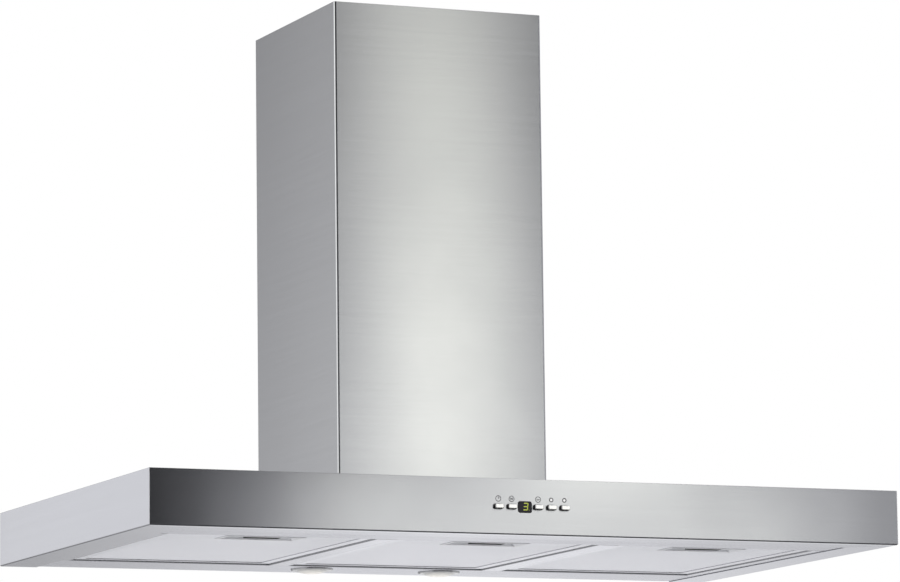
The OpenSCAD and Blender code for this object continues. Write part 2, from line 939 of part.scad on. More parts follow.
// Pan-head screws through the foot flange
module airbox_screws() {
    screw_offset = box_w / 2 + box_foot / 2;
    color("silver")
        for (side = [-1, 1])
            for (along = [-1, 0, 1])
                translate([side * screw_offset, duct_y + along * foot_screw_pitch, top_z + box_t])
                    rotate_extrude()
                        polygon(foot_screw_r * [[0, 0], [1, 0], [1, 0.33], [0.67, 0.67], [0, 0.75]]);
}

// Radius of the scroll at an angle measured from the rearward direction
function scroll_radius(a) = scroll_r + scroll_growth * (a - tongue_angle) / (360 - tongue_angle);

// Scroll outline in the YZ plane about the impeller's axis, grown outward by grow
function scroll_points(grow, rise) =
    let (
        steps = 38,
        first = acos((tongue_y - grow) / (scroll_r + grow)),
        spiral = [for (k = [0 : steps])
            let (a = first + (360 - first) * k / steps)
                (scroll_radius(a) + grow) * [cos(a), sin(a)]]
    )
        concat(spiral, [[scroll_r + scroll_growth + grow, rise], [spiral[0][0], rise]]);

// Puts a shape that is drawn about the impeller's axis, along X, in its place
module at_axis() {
    translate([0, axis_y, axis_z])
        children();
}

module scroll_wrapper() {
    color("slategray")
        at_axis()
            difference() {
                along_x(-cheek_x, scroll_w)
                    polygon(scroll_points(scroll_t, outlet_rise));
                along_x(-cheek_x - cut, scroll_w + 2 * cut)
                    polygon(scroll_points(0, outlet_rise + cut));
            }
}

// Side wall of the scroll with its round inlet and bell mouth, drawn for the right
module scroll_cheek() {
    bell_steps = 6;
    bell_points = concat(
        [for (k = [0 : bell_steps])
            let (a = 90 * k / bell_steps)
                [inlet_r + bell_r * (1 - cos(a)), bell_r * sin(a)]],
        [for (k = [bell_steps : -1 : 0])
            let (a = 90 * k / bell_steps)
                [inlet_r + bell_r - (bell_r - scroll_t) * cos(a), (bell_r - scroll_t) * sin(a)]]
    );
    color("slategray")
        at_axis() {
            difference() {
                along_x(cheek_x, scroll_t)
                    polygon(scroll_points(scroll_t, outlet_rise));
                translate([cheek_x - cut, 0, 0])
                    rotate([0, 90, 0])
                        cylinder(h = scroll_t + 2 * cut, r = inlet_r + scroll_t / 2);
            }
            translate([cheek_x, 0, 0])
                rotate([0, 90, 0])
                    rotate_extrude()
                        polygon(bell_points);
        }
}

module scroll_cheek_left() {
    mirror([1, 0, 0])
        scroll_cheek();
}

module scroll_cheek_right() {
    scroll_cheek();
}

// Blade outline across the axis: a strip that leans and curls forward as it goes out
function blade_edge(offset_angle) = [for (k = [0 : 5])
    let (
        share = k / 5,
        r = impeller_r - 0.5 - blade_depth * (1 - share),
        a = offset_angle + blade_sweep * share * share
    )
        r * [cos(a), sin(a)]];

function reversed(list) = [for (k = [len(list) - 1 : -1 : 0]) list[k]];

// Double-inlet impeller: forward-curved blades between two end rings and a middle disc
module impeller() {
    ring_l = 2;
    half_angle = blade_t / impeller_r * 90 / PI;
    color("dimgray")
        at_axis()
            difference() {
                union() {
                    for (x0 = [-impeller_l / 2, impeller_l / 2 - ring_l])
                        along_x(x0, ring_l)
                            difference() {
                                circle(impeller_r);
                                circle(impeller_r - blade_depth);
                            }
                    along_x(disc_x, disc_t)
                        circle(impeller_r);
                    along_x(disc_x - 3, hub_l)
                        circle(hub_r);
                    along_x(-impeller_l / 2 + 0.5, impeller_l - 1)
                        for (k = [0 : blade_count - 1])
                            rotate(k * 360 / blade_count)
                                polygon(concat(blade_edge(-half_angle), reversed(blade_edge(half_angle))));
                }
                along_x(disc_x - 3 - cut, hub_l + 2 * cut)
                    circle(shaft_r + 0.05);
            }
}

module motor_shaft() {
    color("silver")
        at_axis()
            along_x(motor_front_x - 34, disc_x - 3 + hub_l + 4 - motor_front_x + 34)
                circle(shaft_r);
}

// Motor can with end bells; the shaft runs in its bore
module motor() {
    boss_r = 11;
    color("darkgray")
        at_axis()
            translate([motor_front_x, 0, 0])
                rotate([0, -90, 0])
                    rotate_extrude()
                        polygon([
                            [shaft_r + 0.08, -4],
                            [boss_r, -4],
                            [boss_r, 0],
                            [motor_r - motor_bell, 0],
                            [motor_r, motor_bell],
                            [motor_r, motor_l - motor_bell],
                            [motor_r - motor_bell, motor_l],
                            [0, motor_l],
                            [0, 38],
                            [shaft_r + 0.08, 38]
                        ]);
}

// Spider that carries the motor in the left inlet
module motor_bracket() {
    arm_w = 12;
    color("silver")
        at_axis()
            along_x(bracket_x, bracket_t_axial)
                difference() {
                    union() {
                        circle(motor_r + 5);
                        for (k = [0 : 2])
                            rotate(90 + k * 120) {
                                translate([0, -arm_w / 2])
                                    square([spider_reach, arm_w]);
                                translate([spider_reach, 0])
                                    circle(arm_w / 2);
                            }
                    }
                    circle(motor_r + 0.2);
                }
}

// Rubber buffers between the spider's arms and the scroll
module rubber_mounts() {
    mount_r = 5;
    mount_l = -cheek_x - scroll_t - bracket_x - bracket_t_axial;
    color("black")
        at_axis()
            along_x(bracket_x + bracket_t_axial, mount_l)
                for (k = [0 : 2])
                    rotate(90 + k * 120)
                        translate([spider_reach, 0])
                            circle(mount_r);
}

// Duct that blends the scroll's square outlet into the round collar
module transition_form(grow, extra) {
    outlet_y0 = axis_y + tongue_y - grow;
    outlet_y1 = axis_y + scroll_r + scroll_growth + grow;
    half_x = cheek_x + grow;
    hull() {
        span([-half_x, outlet_y0, axis_z + outlet_rise - extra],
            [half_x, outlet_y1, axis_z + outlet_rise - extra + 0.5]);
        translate([0, duct_y, box_top - box_t - 0.5 + extra])
            cylinder(h = 0.5, r = collar_in_r + 1 + grow, $fn = blend_fn);
    }
}

module outlet_transition() {
    color("slategray")
        difference() {
            transition_form(scroll_t, 0);
            transition_form(0, 0.3);
        }
}

// Round collar for the duct, with a stop ring that the closed flaps rest on
module outlet_collar() {
    stop_z = spindle_h - flap_t / 2 - 0.3;
    color("gray")
        difference() {
            translate([0, duct_y, box_top])
                rotate_extrude()
                    polygon([
                        [collar_in_r, 0],
                        [collar_flange_r, 0],
                        [collar_flange_r, 1.5],
                        [collar_r, 1.5],
                        [collar_r, collar_h],
                        [collar_in_r, collar_h],
                        [collar_in_r, stop_z],
                        [collar_in_r - 2.5, stop_z],
                        [collar_in_r - 2.5, stop_z - 1],
                        [collar_in_r, stop_z - 3]
                    ]);
            translate([-collar_r - cut, duct_y, spindle_z])
                rotate([0, 90, 0])
                    cylinder(h = 2 * (collar_r + cut), r = spindle_r + knuckle_play, $fn = 48);
        }
}

module damper_spindle() {
    color("silver")
        translate([-collar_r, duct_y, spindle_z])
            rotate([0, 90, 0])
                cylinder(h = 2 * collar_r, r = spindle_r, $fn = 48);
}

// Half-round flap on the +Y side of the spindle, with two knuckles round it
module damper_flap() {
    web_y = knuckle_r + 1.5;
    color("dimgray")
        translate([0, duct_y, spindle_z])
            difference() {
                union() {
                    intersection() {
                        translate([0, 0, -flap_t / 2])
                            cylinder(h = flap_t, r = flap_r);
                        span([-flap_r - cut, web_y, -flap_t], [flap_r + cut, flap_r + cut, flap_t]);
                    }
                    for (x0 = knuckle_starts) {
                        span([x0, 0, -flap_t / 2], [x0 + knuckle_l, web_y + 0.5, flap_t / 2]);
                        translate([x0, 0, 0])
                            rotate([0, 90, 0])
                                cylinder(h = knuckle_l, r = knuckle_r, $fn = 48);
                    }
                }
                translate([-collar_r, 0, 0])
                    rotate([0, 90, 0])
                        cylinder(h = 2 * collar_r, r = spindle_r + knuckle_play, $fn = 48);
            }
}

module damper_flap_rear() {
    damper_flap();
}

module damper_flap_front() {
    translate([0, duct_y, 0])
        rotate([0, 0, 180])
            translate([0, -duct_y, 0])
                damper_flap();
}

// Cable gland on the blower box's top, with its nut below
module cable_gland() {
    dome_r = 8;
    nut_t = 4;
    color("black")
        translate([gland_x, gland_y, box_top])
            difference() {
                union() {
                    rotate_extrude()
                        polygon([
                            [0, 0],
                            [dome_r + 1.5, 0],
                            [dome_r + 1.5, 4],
                            [dome_r, 4.5],
                            [dome_r, 9],
                            [gland_bore_r + 1.4, 14],
                            [0, 14]
                        ]);
                    translate([0, 0, -box_t - nut_t - 1])
                        cylinder(h = box_t + nut_t + 1 + 0.1, r = gland_thread_r);
                    translate([0, 0, -box_t - nut_t])
                        cylinder(h = nut_t, r = dome_r + 1.5, $fn = 6);
                }
                translate([0, 0, -box_t - nut_t - 1 - cut])
                    cylinder(h = box_t + nut_t + 15 + 2 * cut, r = gland_bore_r);
            }
}

// Housing of the mains terminals and the power board, under the canopy's top at the back
module control_box() {
    low = [mains_x, -mains_d, roof_z - mains_h];
    high = [mains_x + mains_w, -sheet_t - seat_gap, roof_z];
    lid_t = 2;
    lid_edge = 1.5;
    color("whitesmoke") {
        span(low + [0, 0, lid_t], high);
        span(low - [lid_edge, lid_edge, 0], [high[0] + lid_edge, high[1], low[2] + lid_t]);
        for (x = [low[0] + 14, high[0] - 14])
            translate([x, low[1] + 10, low[2] - 1.2])
                cylinder(h = 1.3, r = 3.2);
        for (k = [0 : 3])
            translate([mains_x - mains_gland_l, mains_gland_y(k), mains_gland_z])
                rotate([0, 90, 0])
                    cylinder(h = mains_gland_l + 1, r = 4.5);
    }
}

// Place along Y of one of the housing's four lead glands, counted from the front
function mains_gland_y(k) = -mains_d + 16 + 17 * k;

// Lamp transformer: winding in a laminated core on a foot plate
module lamp_transformer() {
    foot_t = 1.5;
    foot_edge = 10;
    color("goldenrod")
        translate([core_x, core_y, 0]) {
            span([-core_w / 2 - foot_edge, -core_d / 2 - 8, roof_z - foot_t],
                [core_w / 2 + foot_edge, core_d / 2 + 8, roof_z]);
            span([-core_w / 2, -core_d / 2, roof_z - core_h], [core_w / 2, core_d / 2, roof_z - 1]);
            translate([0, 0, winding_z])
                rotate([90, 0, 0])
                    linear_extrude(winding_d, center = true)
                        round_rect(winding_w, winding_h, 5);
        }
}

// Round lead that follows straight runs from point to point, with a ball at each bend
module lead(points) {
    for (k = [1 : len(points) - 1]) {
        run = points[k] - points[k - 1];
        translate(points[k - 1])
            rotate([0, acos(run[2] / norm(run)), atan2(run[1], run[0])])
                cylinder(h = norm(run), r = lead_r, $fn = 24);
    }
    for (k = [1 : len(points) - 2])
        translate(points[k])
            sphere(lead_r, $fn = 24);
}

// Leads inside the canopy: two to the lamps, one each to the transformer, the buttons and the motor
module wiring() {
    lamp_run_z = socket_top_z + 9;
    ceiling_z = roof_z - lead_r - 0.3;
    mains_out_x = mains_x - mains_gland_l;
    board_run_x = mains_out_x - 11;
    board_back_y = panel_in_y + guide_d + board_t + 7 - 0.1;
    motor_end_x = motor_front_x - motor_l;
    motor_out_x = mains_out_x - 8;
    motor_run_z = lamp_run_z + 8;
    motor_run_x = -air_opening / 2 + lead_r + 2;
    motor_run_y = duct_y + air_opening / 2 - 15;
    motor_in_y = axis_y + 14;
    color("black") {
        lead([
            [-lamp_x, -lamp_y, socket_top_z],
            [-lamp_x, -lamp_y, lamp_run_z],
            [core_x + core_w / 2, -lamp_y, lamp_run_z]
        ]);
        lead([
            [lamp_x, -lamp_y, socket_top_z],
            [lamp_x, -lamp_y, lamp_run_z],
            [lamp_x, core_y + 6, lamp_run_z],
            [core_x + core_w / 2, core_y + 6, lamp_run_z]
        ]);
        lead([
            [mains_out_x, mains_gland_y(2), mains_gland_z],
            [core_x + winding_w / 2, mains_gland_y(2), mains_gland_z]
        ]);
        lead([
            [mains_out_x, mains_gland_y(0), mains_gland_z],
            [board_run_x, mains_gland_y(0), mains_gland_z],
            [board_run_x, mains_gland_y(0), ceiling_z],
            [board_run_x, board_back_y + 12, ceiling_z],
            [control_x, board_back_y + 12, ceiling_z],
            [control_x, board_back_y + 12, 0],
            [control_x, board_back_y, 0]
        ]);
        lead([
            [mains_out_x, mains_gland_y(3), mains_gland_z],
            [motor_out_x, mains_gland_y(3), mains_gland_z],
            [motor_out_x, mains_gland_y(3), motor_run_z],
            [motor_run_x, mains_gland_y(3), motor_run_z],
            [motor_run_x, motor_run_y, motor_run_z],
            [motor_run_x, motor_run_y, axis_z],
            [motor_run_x, motor_in_y, axis_z],
            [motor_end_x, motor_in_y, axis_z]
        ]);
    }
}

// Cross-section of a chimney section: bent front and sides, with flanges along the open back
module duct_section(half, front_y, back_y) {
    depth = back_y - front_y;
    difference() {
        translate([0, front_y + depth / 2])
            round_rect(2 * half, depth, bend_r);
        translate([0, front_y + depth / 2])
            round_rect(2 * (half - duct_t), depth - 2 * duct_t, bend_r - duct_t);
        translate([-half + duct_flange_w, back_y - duct_t - cut])
            square([2 * (half - duct_flange_w), duct_t + 2 * cut]);
    }
}

module chimney_lower() {
    color("lightgray")
        translate([0, 0, top_z])
            linear_extrude(chimney_h)
                duct_section(chimney_w / 2, -chimney_d, 0);
}

// Stadium-shaped slot, seen along X
module slot_outline() {
    square([slot_l - slot_w, slot_w], center = true);
    for (side = [-1, 1])
        translate([side * (slot_l - slot_w) / 2, 0])
            circle(slot_w / 2, $fn = 32);
}

module chimney_upper() {
    first_slot = 40;
    color("lightgray")
        difference() {
            translate([0, 0, upper_top - upper_h])
                linear_extrude(upper_h)
                    duct_section(upper_half, upper_front_y, upper_back_y);
            for (k = [0 : slot_count - 1])
                translate([0, duct_y, upper_top - first_slot - k * slot_pitch])
                    for (x0 = [-upper_half - cut, upper_half - duct_t - cut])
                        along_x(x0, duct_t + 2 * cut)
                            slot_outline();
        }
}

// Bracket that holds the upper chimney to the wall by its two side tabs
module upper_bracket() {
    shelf_y = -9.5;
    tab_y = -35;
    tab_x = upper_half - duct_t - seat_gap;
    drop = 5;
    color("silver")
        difference() {
            translate([0, 0, upper_top - drop - bracket_h])
                linear_extrude(bracket_h)
                    union() {
                        translate([-bracket_half, -bracket_t])
                            square([2 * bracket_half, bracket_t]);
                        for (side = [0, 1])
                            mirror([side, 0]) {
                                translate([bracket_half - bracket_t, shelf_y])
                                    square([bracket_t, -shelf_y]);
                                translate([bracket_half - bracket_t, shelf_y])
                                    square([tab_x - bracket_half + bracket_t, bracket_t]);
                                translate([tab_x - bracket_t, tab_y])
                                    square([bracket_t, shelf_y - tab_y + bracket_t]);
                            }
                    }
            for (side = [-1, 1])
                translate([side * bracket_hole_spacing / 2, cut, upper_top - drop - bracket_h / 2])
                    rotate([90, 0, 0])
                        cylinder(h = bracket_t + 2 * cut, r = bracket_hole_r);
        }
}

module filter_frame_left() {
    at_bay(-1)
        filter_frame();
}

module filter_frame_middle() {
    at_bay(0)
        filter_frame();
}

module filter_frame_right() {
    at_bay(1)
        filter_frame();
}

module filter_mesh_left() {
    at_bay(-1)
        filter_mesh();
}

module filter_mesh_middle() {
    at_bay(0)
        filter_mesh();
}

module filter_mesh_right() {
    at_bay(1)
        filter_mesh();
}

module handle_cup_left() {
    at_bay(-1)
        handle_cup();
}

module handle_cup_middle() {
    at_bay(0)
        handle_cup();
}

module handle_cup_right() {
    at_bay(1)
        handle_cup();
}

module latch_left() {
    at_bay(-1)
        latch();
}

module latch_middle() {
    at_bay(0)
        latch();
}

module latch_right() {
    at_bay(1)
        latch();
}

front_panel();
side_panel_left();
side_panel_right();
top_plate();
back_plate();
lamp_panel();
front_rail();
side_rail_left();
side_rail_right();
divider_left();
divider_right();
lamp_ring_left();
lamp_ring_right();
lamp_glass_left();
lamp_glass_right();
lamp_reflectors();
lamp_bulbs();
button_timer();
button_fan();
button_minus();
button_plus();
button_light();
button_guide();
control_board();
display_window();
display_module();
filter_frame_left();
filter_frame_middle();
filter_frame_right();
filter_mesh_left();
filter_mesh_middle();
filter_mesh_right();
handle_cup_left();
handle_cup_middle();
handle_cup_right();
latch_left();
latch_middle();
latch_right();
airbox();
airbox_screws();
scroll_wrapper();
scroll_cheek_left();
scroll_cheek_right();
impeller();
motor_shaft();
motor();
motor_bracket();
rubber_mounts();
outlet_transition();
outlet_collar();
damper_spindle();
damper_flap_rear();
damper_flap_front();
cable_gland();
control_box();
lamp_transformer();
wiring();
chimney_lower();
chimney_upper();
upper_bracket();
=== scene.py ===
import math

import bmesh
import bpy
from mathutils import Matrix, Vector


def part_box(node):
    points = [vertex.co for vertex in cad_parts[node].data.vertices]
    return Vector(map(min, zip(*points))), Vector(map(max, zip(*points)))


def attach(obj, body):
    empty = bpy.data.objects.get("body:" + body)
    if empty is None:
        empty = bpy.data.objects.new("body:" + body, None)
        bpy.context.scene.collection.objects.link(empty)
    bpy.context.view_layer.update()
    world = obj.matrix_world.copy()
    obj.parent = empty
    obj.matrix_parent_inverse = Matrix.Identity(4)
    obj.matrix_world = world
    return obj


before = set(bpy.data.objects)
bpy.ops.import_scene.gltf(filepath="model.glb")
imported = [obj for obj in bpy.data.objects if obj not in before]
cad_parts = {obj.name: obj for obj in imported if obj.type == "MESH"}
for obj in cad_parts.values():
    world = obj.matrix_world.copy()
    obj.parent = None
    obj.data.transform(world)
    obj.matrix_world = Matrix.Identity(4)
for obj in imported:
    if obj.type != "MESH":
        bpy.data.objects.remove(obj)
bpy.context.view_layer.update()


# Camera. It stands low and to the left, some six metres off, and looks up at the underside of the hood
# through a long lens, as the photograph does.
camera_turn = 0.4037
camera_rise = 0.1463
camera_roll = 0.0128
camera_place = (-2.2956, -5.7484, -0.564)
camera_lens = 207.81
camera_shift = (-0.0331, -0.0352)
look = Vector((math.sin(camera_turn) * math.cos(camera_rise),
               math.cos(camera_turn) * math.cos(camera_rise),
               math.sin(camera_rise)))
level_right = Vector((math.cos(camera_turn), -math.sin(camera_turn), 0))
level_up = level_right.cross(look)
camera_right = math.cos(camera_roll) * level_right - math.sin(camera_roll) * level_up
camera_up = math.cos(camera_roll) * level_up + math.sin(camera_roll) * level_right
camera_data = bpy.data.cameras.new("camera")
camera_data.sensor_width = 36
camera_data.lens = camera_lens
camera_data.shift_x, camera_data.shift_y = camera_shift
camera_data.clip_end = 60
camera = bpy.data.objects.new("camera", camera_data)
bpy.context.scene.collection.objects.link(camera)
camera.matrix_world = (Matrix.Translation(camera_place)
                       @ Matrix((camera_right, camera_up, -look)).transposed().to_4x4())
bpy.context.scene.camera = camera
bpy.context.scene.view_settings.view_transform = "Standard"


# Room. A white surround that lights the hood evenly, one large soft lamp from the front left, and a pale
# floor a metre below the wall mounting that keeps the shadow.
def fill_input(tree, socket, value):
    """Links or sets one input."""
    if isinstance(value, bpy.types.NodeSocket):
        tree.links.new(value, socket)
    else:
        socket.default_value = value


def put(tree, kind, inputs=(), **settings):
    """Places one shader node, with its settings and inputs."""
    node = tree.nodes.new("ShaderNode" + kind)
    for name, value in settings.items():
        setattr(node, name, value)
    for name, value in dict(inputs).items():
        fill_input(tree, node.inputs[name], value)
    return node


def calc(tree, operation, *values):
    """Result of one sum on numbers."""
    return put(tree, "Math", dict(enumerate(values)), operation=operation).outputs[0]


def vector_calc(tree, operation, *values):
    """Result of one sum on vectors."""
    node = put(tree, "VectorMath", dict(enumerate(values)), operation=operation)
    return node.outputs["Value" if operation in ("DOT_PRODUCT", "LENGTH") else "Vector"]


world_for_matt = 0.78
world = bpy.data.worlds.new("room")
world.use_nodes = True
sky = world.node_tree
sky_light = sky.nodes["Background"]
sky_light.inputs["Color"].default_value = (1, 1, 1, 1)
path = put(sky, "LightPath")
seen = calc(sky, "MAXIMUM", path.outputs["Is Camera Ray"], path.outputs["Is Glossy Ray"])
seen = calc(sky, "MAXIMUM", seen, path.outputs["Is Transmission Ray"])
sky_level = put(sky, "MapRange", {"Value": seen, "To Min": world_for_matt, "To Max": 1.0})
sky.links.new(sky_level.outputs[0], sky_light.inputs["Strength"])
bpy.context.scene.world = world

key_size = 2.6
key_power = 60
key_place = (-1.8, -3.2, 2.6)
key_aim = Vector((0, -0.2, 0.1))
key_data = bpy.data.lights.new("key_lamp", "AREA")
key_data.size = key_size
key_data.energy = key_power
key_lamp = bpy.data.objects.new("key_lamp", key_data)
bpy.context.scene.collection.objects.link(key_lamp)
key_lamp.location = key_place
key_lamp.rotation_euler = (key_aim - key_lamp.location).to_track_quat("-Z", "Y").to_euler()
key_lamp.visible_camera = False
key_lamp.visible_glossy = False


def plane_of(name, corners):
    """Flat four-cornered sheet for the floor and the studio's reflection cards."""
    mesh = bpy.data.meshes.new(name)
    mesh.from_pydata(corners, [], [tuple(range(len(corners)))])
    sheet = bpy.data.objects.new(name, mesh)
    bpy.context.scene.collection.objects.link(sheet)
    return sheet


floor_z = -1.0
floor_reach = 22
floor_grey = 0.8
floor_glow = 0.2
floor = plane_of("floor", [(-floor_reach, -floor_reach, floor_z), (floor_reach, -floor_reach, floor_z),
                           (floor_reach, floor_reach, floor_z), (-floor_reach, floor_reach, floor_z)])
floor_paint = bpy.data.materials.new("floor_paint")
floor_paint.use_nodes = True
paint = floor_paint.node_tree
paint.nodes.clear()
path = put(paint, "LightPath")
seen = calc(paint, "MAXIMUM", path.outputs["Is Camera Ray"], path.outputs["Is Glossy Ray"])
glow = put(paint, "Emission", {"Color": (1, 1, 1, 1), "Strength": calc(paint, "MULTIPLY", seen, floor_glow)})
matt = put(paint, "BsdfDiffuse", {"Color": (floor_grey, floor_grey, floor_grey, 1)})
both = put(paint, "AddShader", {0: glow.outputs[0], 1: matt.outputs[0]})
# A view from under the floor looks through it.
from_below = calc(paint, "MULTIPLY", put(paint, "NewGeometry").outputs["Backfacing"],
                  path.outputs["Is Camera Ray"])
clear = put(paint, "BsdfTransparent")
shown = put(paint, "MixShader", {0: from_below, 1: both.outputs[0], 2: clear.outputs[0]})
put(paint, "OutputMaterial", {"Surface": shown.outputs[0]})
floor.data.materials.append(floor_paint)


# Reflection cards. Brushed steel shows what stands round it, so grey and white cards that only reflections
# see give the long soft gradients of the photograph. Each takes its tones, as (place, level), along X.
card_blue = 1.02


def reflection_card(name, corners, tones, fade=None, lean=0.0, warmth=0.07):
    """Glowing sheet seen only in reflections; fade is (low z, level there, high z, level there)."""
    card = plane_of(name, corners)
    for ray in ("camera", "diffuse", "shadow", "transmission", "volume_scatter"):
        setattr(card, "visible_" + ray, False)
    material = bpy.data.materials.new(name)
    material.use_nodes = True
    tree = material.node_tree
    tree.nodes.clear()
    place = put(tree, "SeparateXYZ", {0: put(tree, "TexCoord").outputs["Object"]})
    start, end = tones[0][0], tones[-1][0]
    leant = calc(tree, "MULTIPLY_ADD", place.outputs["Z"], lean, place.outputs["X"])
    along = put(tree, "MapRange", {"Value": leant, "From Min": start, "From Max": end})
    ramp = put(tree, "ValToRGB", {"Fac": along.outputs[0]})
    ramp.color_ramp.interpolation = "EASE"
    stops = ramp.color_ramp.elements
    brightest = max(level for _, level in tones)
    while len(stops) < len(tones):
        stops.new(0.5)
    for stop, (x, level) in zip(stops, tones):
        stop.position = (x - start) / (end - start)
        share = level / brightest
        stop.color = (share, share, share * (card_blue - warmth * level), 1)
    strength = brightest
    if fade:
        down = put(tree, "MapRange", {"Value": place.outputs["Z"], "From Min": fade[0], "To Min": fade[1],
                                      "From Max": fade[2], "To Max": fade[3]})
        strength = calc(tree, "MULTIPLY", down.outputs[0], brightest)
    glow = put(tree, "Emission", {"Color": ramp.outputs["Color"], "Strength": strength})
    put(tree, "OutputMaterial", {"Surface": glow.outputs[0]})
    card.data.materials.append(material)


def upright(y, left, right, low, high):
    """Corners of a card that stands across the view."""
    return [(left, y, low), (right, y, low), (right, y, high), (left, y, high)]


reflection_card("card_before_canopy", upright(-0.95, -0.95, 0.95, -0.12, 0.10), [
    (-0.95, 0.20), (-0.60, 0.12), (-0.45, 0.03), (-0.31, 0.03), (-0.25, 0.125), (-0.20, 0.30),
    (-0.15, 0.49), (-0.10, 0.88), (-0.05, 1.17), (0.0, 1.21), (0.09, 1.15), (0.19, 1.15), (0.29, 1.10),
    (0.38, 1.21), (0.48, 1.19), (0.58, 0.875), (0.66, 0.54), (0.95, 0.44)])
reflection_card("card_before_chimney", upright(-1.34, -1.25, 1.35, 0.11, 2.5), [
    (-1.25, 0.12), (-0.40, 0.08), (0.10, 0.05), (0.22, 0.33), (0.30, 0.70), (0.33, 0.91), (0.36, 1.16),
    (0.39, 1.51), (0.42, 1.80), (0.45, 1.93), (0.48, 1.94), (0.51, 1.87), (0.54, 1.70), (0.575, 1.34),
    (0.61, 0.86), (0.64, 0.58), (0.75, 0.43), (1.35, 0.40)],
    fade=(0.16, 1.0, 0.85, 0.455), lean=0.035)
reflection_card("card_behind", upright(0.5, -0.58, -0.08, 0.03, 1.8), [
    (-0.58, 0.70), (-0.43, 0.67), (-0.325, 0.54), (-0.08, 0.36)], fade=(0.09, 1.0, 0.80, 0.72))
reflection_card("card_beyond", upright(2.0, -1.0, 3.5, -0.98, -0.04), [
    (-1.0, 0.42), (0.25, 0.48), (0.34, 0.56), (0.43, 0.61), (0.56, 0.77), (0.75, 0.98), (1.0, 1.05),
    (1.25, 0.97), (1.5, 0.80), (1.8, 0.68), (2.2, 0.62), (3.5, 0.60)], warmth=0.0)
reflection_card("card_low_front", upright(-0.97, -1.2, 1.6, -0.56, -0.12), [(-1.2, 0.14), (1.6, 0.14)])
reflection_card("card_below", [(-0.8, -0.97, -0.56), (1.5, -0.97, -0.56), (1.5, -0.36, -0.56),
                               (-0.8, -0.36, -0.56)], [(-0.8, 0.05), (1.5, 0.05)])
reflection_card("card_left", [(-1.27, -0.53, 0.06), (-1.10, 0.50, 0.06), (-1.10, 0.50, 2.2),
                              (-1.27, -0.53, 2.2)], [(-1.27, 1.45), (-1.10, 1.45)])


# Canopy shell. Front, sides and top are stainless sheet, brushed along the hood, folded under at the foot
# and welded at the corners; the back is galvanised sheet.
def shader_group(name, inputs, outputs):
    """Empty group of shader nodes with named inputs, as name: (socket kind, value), and outputs."""
    tree = bpy.data.node_groups.new(name, "ShaderNodeTree")
    for label, (kind, value) in inputs.items():
        socket = tree.interface.new_socket(label, in_out="INPUT", socket_type="NodeSocket" + kind)
        if value is not None:
            socket.default_value = value
    for label, kind in outputs.items():
        tree.interface.new_socket(label, in_out="OUTPUT", socket_type="NodeSocket" + kind)
    return tree, tree.nodes.new("NodeGroupInput").outputs, tree.nodes.new("NodeGroupOutput").inputs


def effect(tree, group, inputs=()):
    """Places a group in a material and returns its outputs."""
    node = put(tree, "Group", node_tree=group)
    for name, value in dict(inputs).items():
        fill_input(tree, node.inputs[name], value)
    return node.outputs


def noise(tree, place, scale, detail=2.0, roughness=0.5):
    """Soft random pattern between 0 and 1."""
    return put(tree, "TexNoise", {"Vector": place, "Scale": scale, "Detail": detail,
                                  "Roughness": roughness}).outputs[0]


def spread(tree, value, low, high, to_low=0.0, to_high=1.0):
    """Value stretched from one range to another, and held there."""
    return put(tree, "MapRange", {"Value": value, "From Min": low, "From Max": high,
                                  "To Min": to_low, "To Max": to_high}).outputs[0]


def tint(tree, factor, first, second, mode="MIX"):
    """One colour turned into another by a factor."""
    node = put(tree, "Mix", {0: factor, 6: first, 7: second}, data_type="RGBA", blend_type=mode)
    return node.outputs[2]


def tinted_by(tree, colour, tone):
    """Colour made lighter or darker by a tone."""
    grey = put(tree, "CombineColor", {0: tone, 1: tone, 2: tone}).outputs[0]
    return tint(tree, 1.0, (*colour, 1), grey, "MULTIPLY")


def shift(tree, mask, share, colour, paint):
    """Colour turned into a paint by a share of a mask."""
    return tint(tree, calc(tree, "MULTIPLY", mask, share), colour, (*paint, 1))


# Brush lines run along X, or along Y where Sideways is one.
brush_lines, given, out = shader_group(
    "brush_lines", {"Position": ("Vector", None), "Sideways": ("Float", 0.0)},
    {"Tone": "Float", "Height": "Float"})
lines_along = 9
lines_across = 700
run_along_x = vector_calc(brush_lines, "MULTIPLY", given["Position"],
                          (lines_along, lines_across, lines_across))
run_along_y = vector_calc(brush_lines, "MULTIPLY", given["Position"],
                          (lines_across, lines_along, lines_across))
run = put(brush_lines, "Mix", {0: given["Sideways"], 4: run_along_x, 5: run_along_y}, data_type="VECTOR")
run = run.outputs[1]
fine_lines = noise(brush_lines, run, 2.4, 3.0, 0.65)
long_lines = noise(brush_lines, run, 0.22, 2.0, 0.5)
both_lines = calc(brush_lines, "ADD", calc(brush_lines, "MULTIPLY", fine_lines, 0.6),
                  calc(brush_lines, "MULTIPLY", long_lines, 0.4))
brush_lines.links.new(spread(brush_lines, both_lines, 0.25, 0.75, 0.0, 1.0), out["Tone"])
brush_lines.links.new(fine_lines, out["Height"])

# Edges that hands and cloths rub, found where a rounded normal leaves the flat one.
edge_rub, given, out = shader_group(
    "edge_rub", {"Position": ("Vector", None), "Reach": ("Float", 0.001)},
    {"Rub": "Float", "Rounded": "Vector"})
flat_normal = put(edge_rub, "NewGeometry").outputs["Normal"]
rounded = put(edge_rub, "Bevel", {"Radius": given["Reach"]}, samples=6).outputs[0]
lean = calc(edge_rub, "SUBTRACT", 1.0, vector_calc(edge_rub, "DOT_PRODUCT", rounded, flat_normal))
patchy = spread(edge_rub, noise(edge_rub, given["Position"], 70.0, 3.0), 0.35, 0.65, 0.4, 1.0)
rubbed = calc(edge_rub, "MULTIPLY", spread(edge_rub, lean, 0.01, 0.16), patchy)
edge_rub.links.new(rubbed, out["Rub"])
edge_rub.links.new(rounded, out["Rounded"])

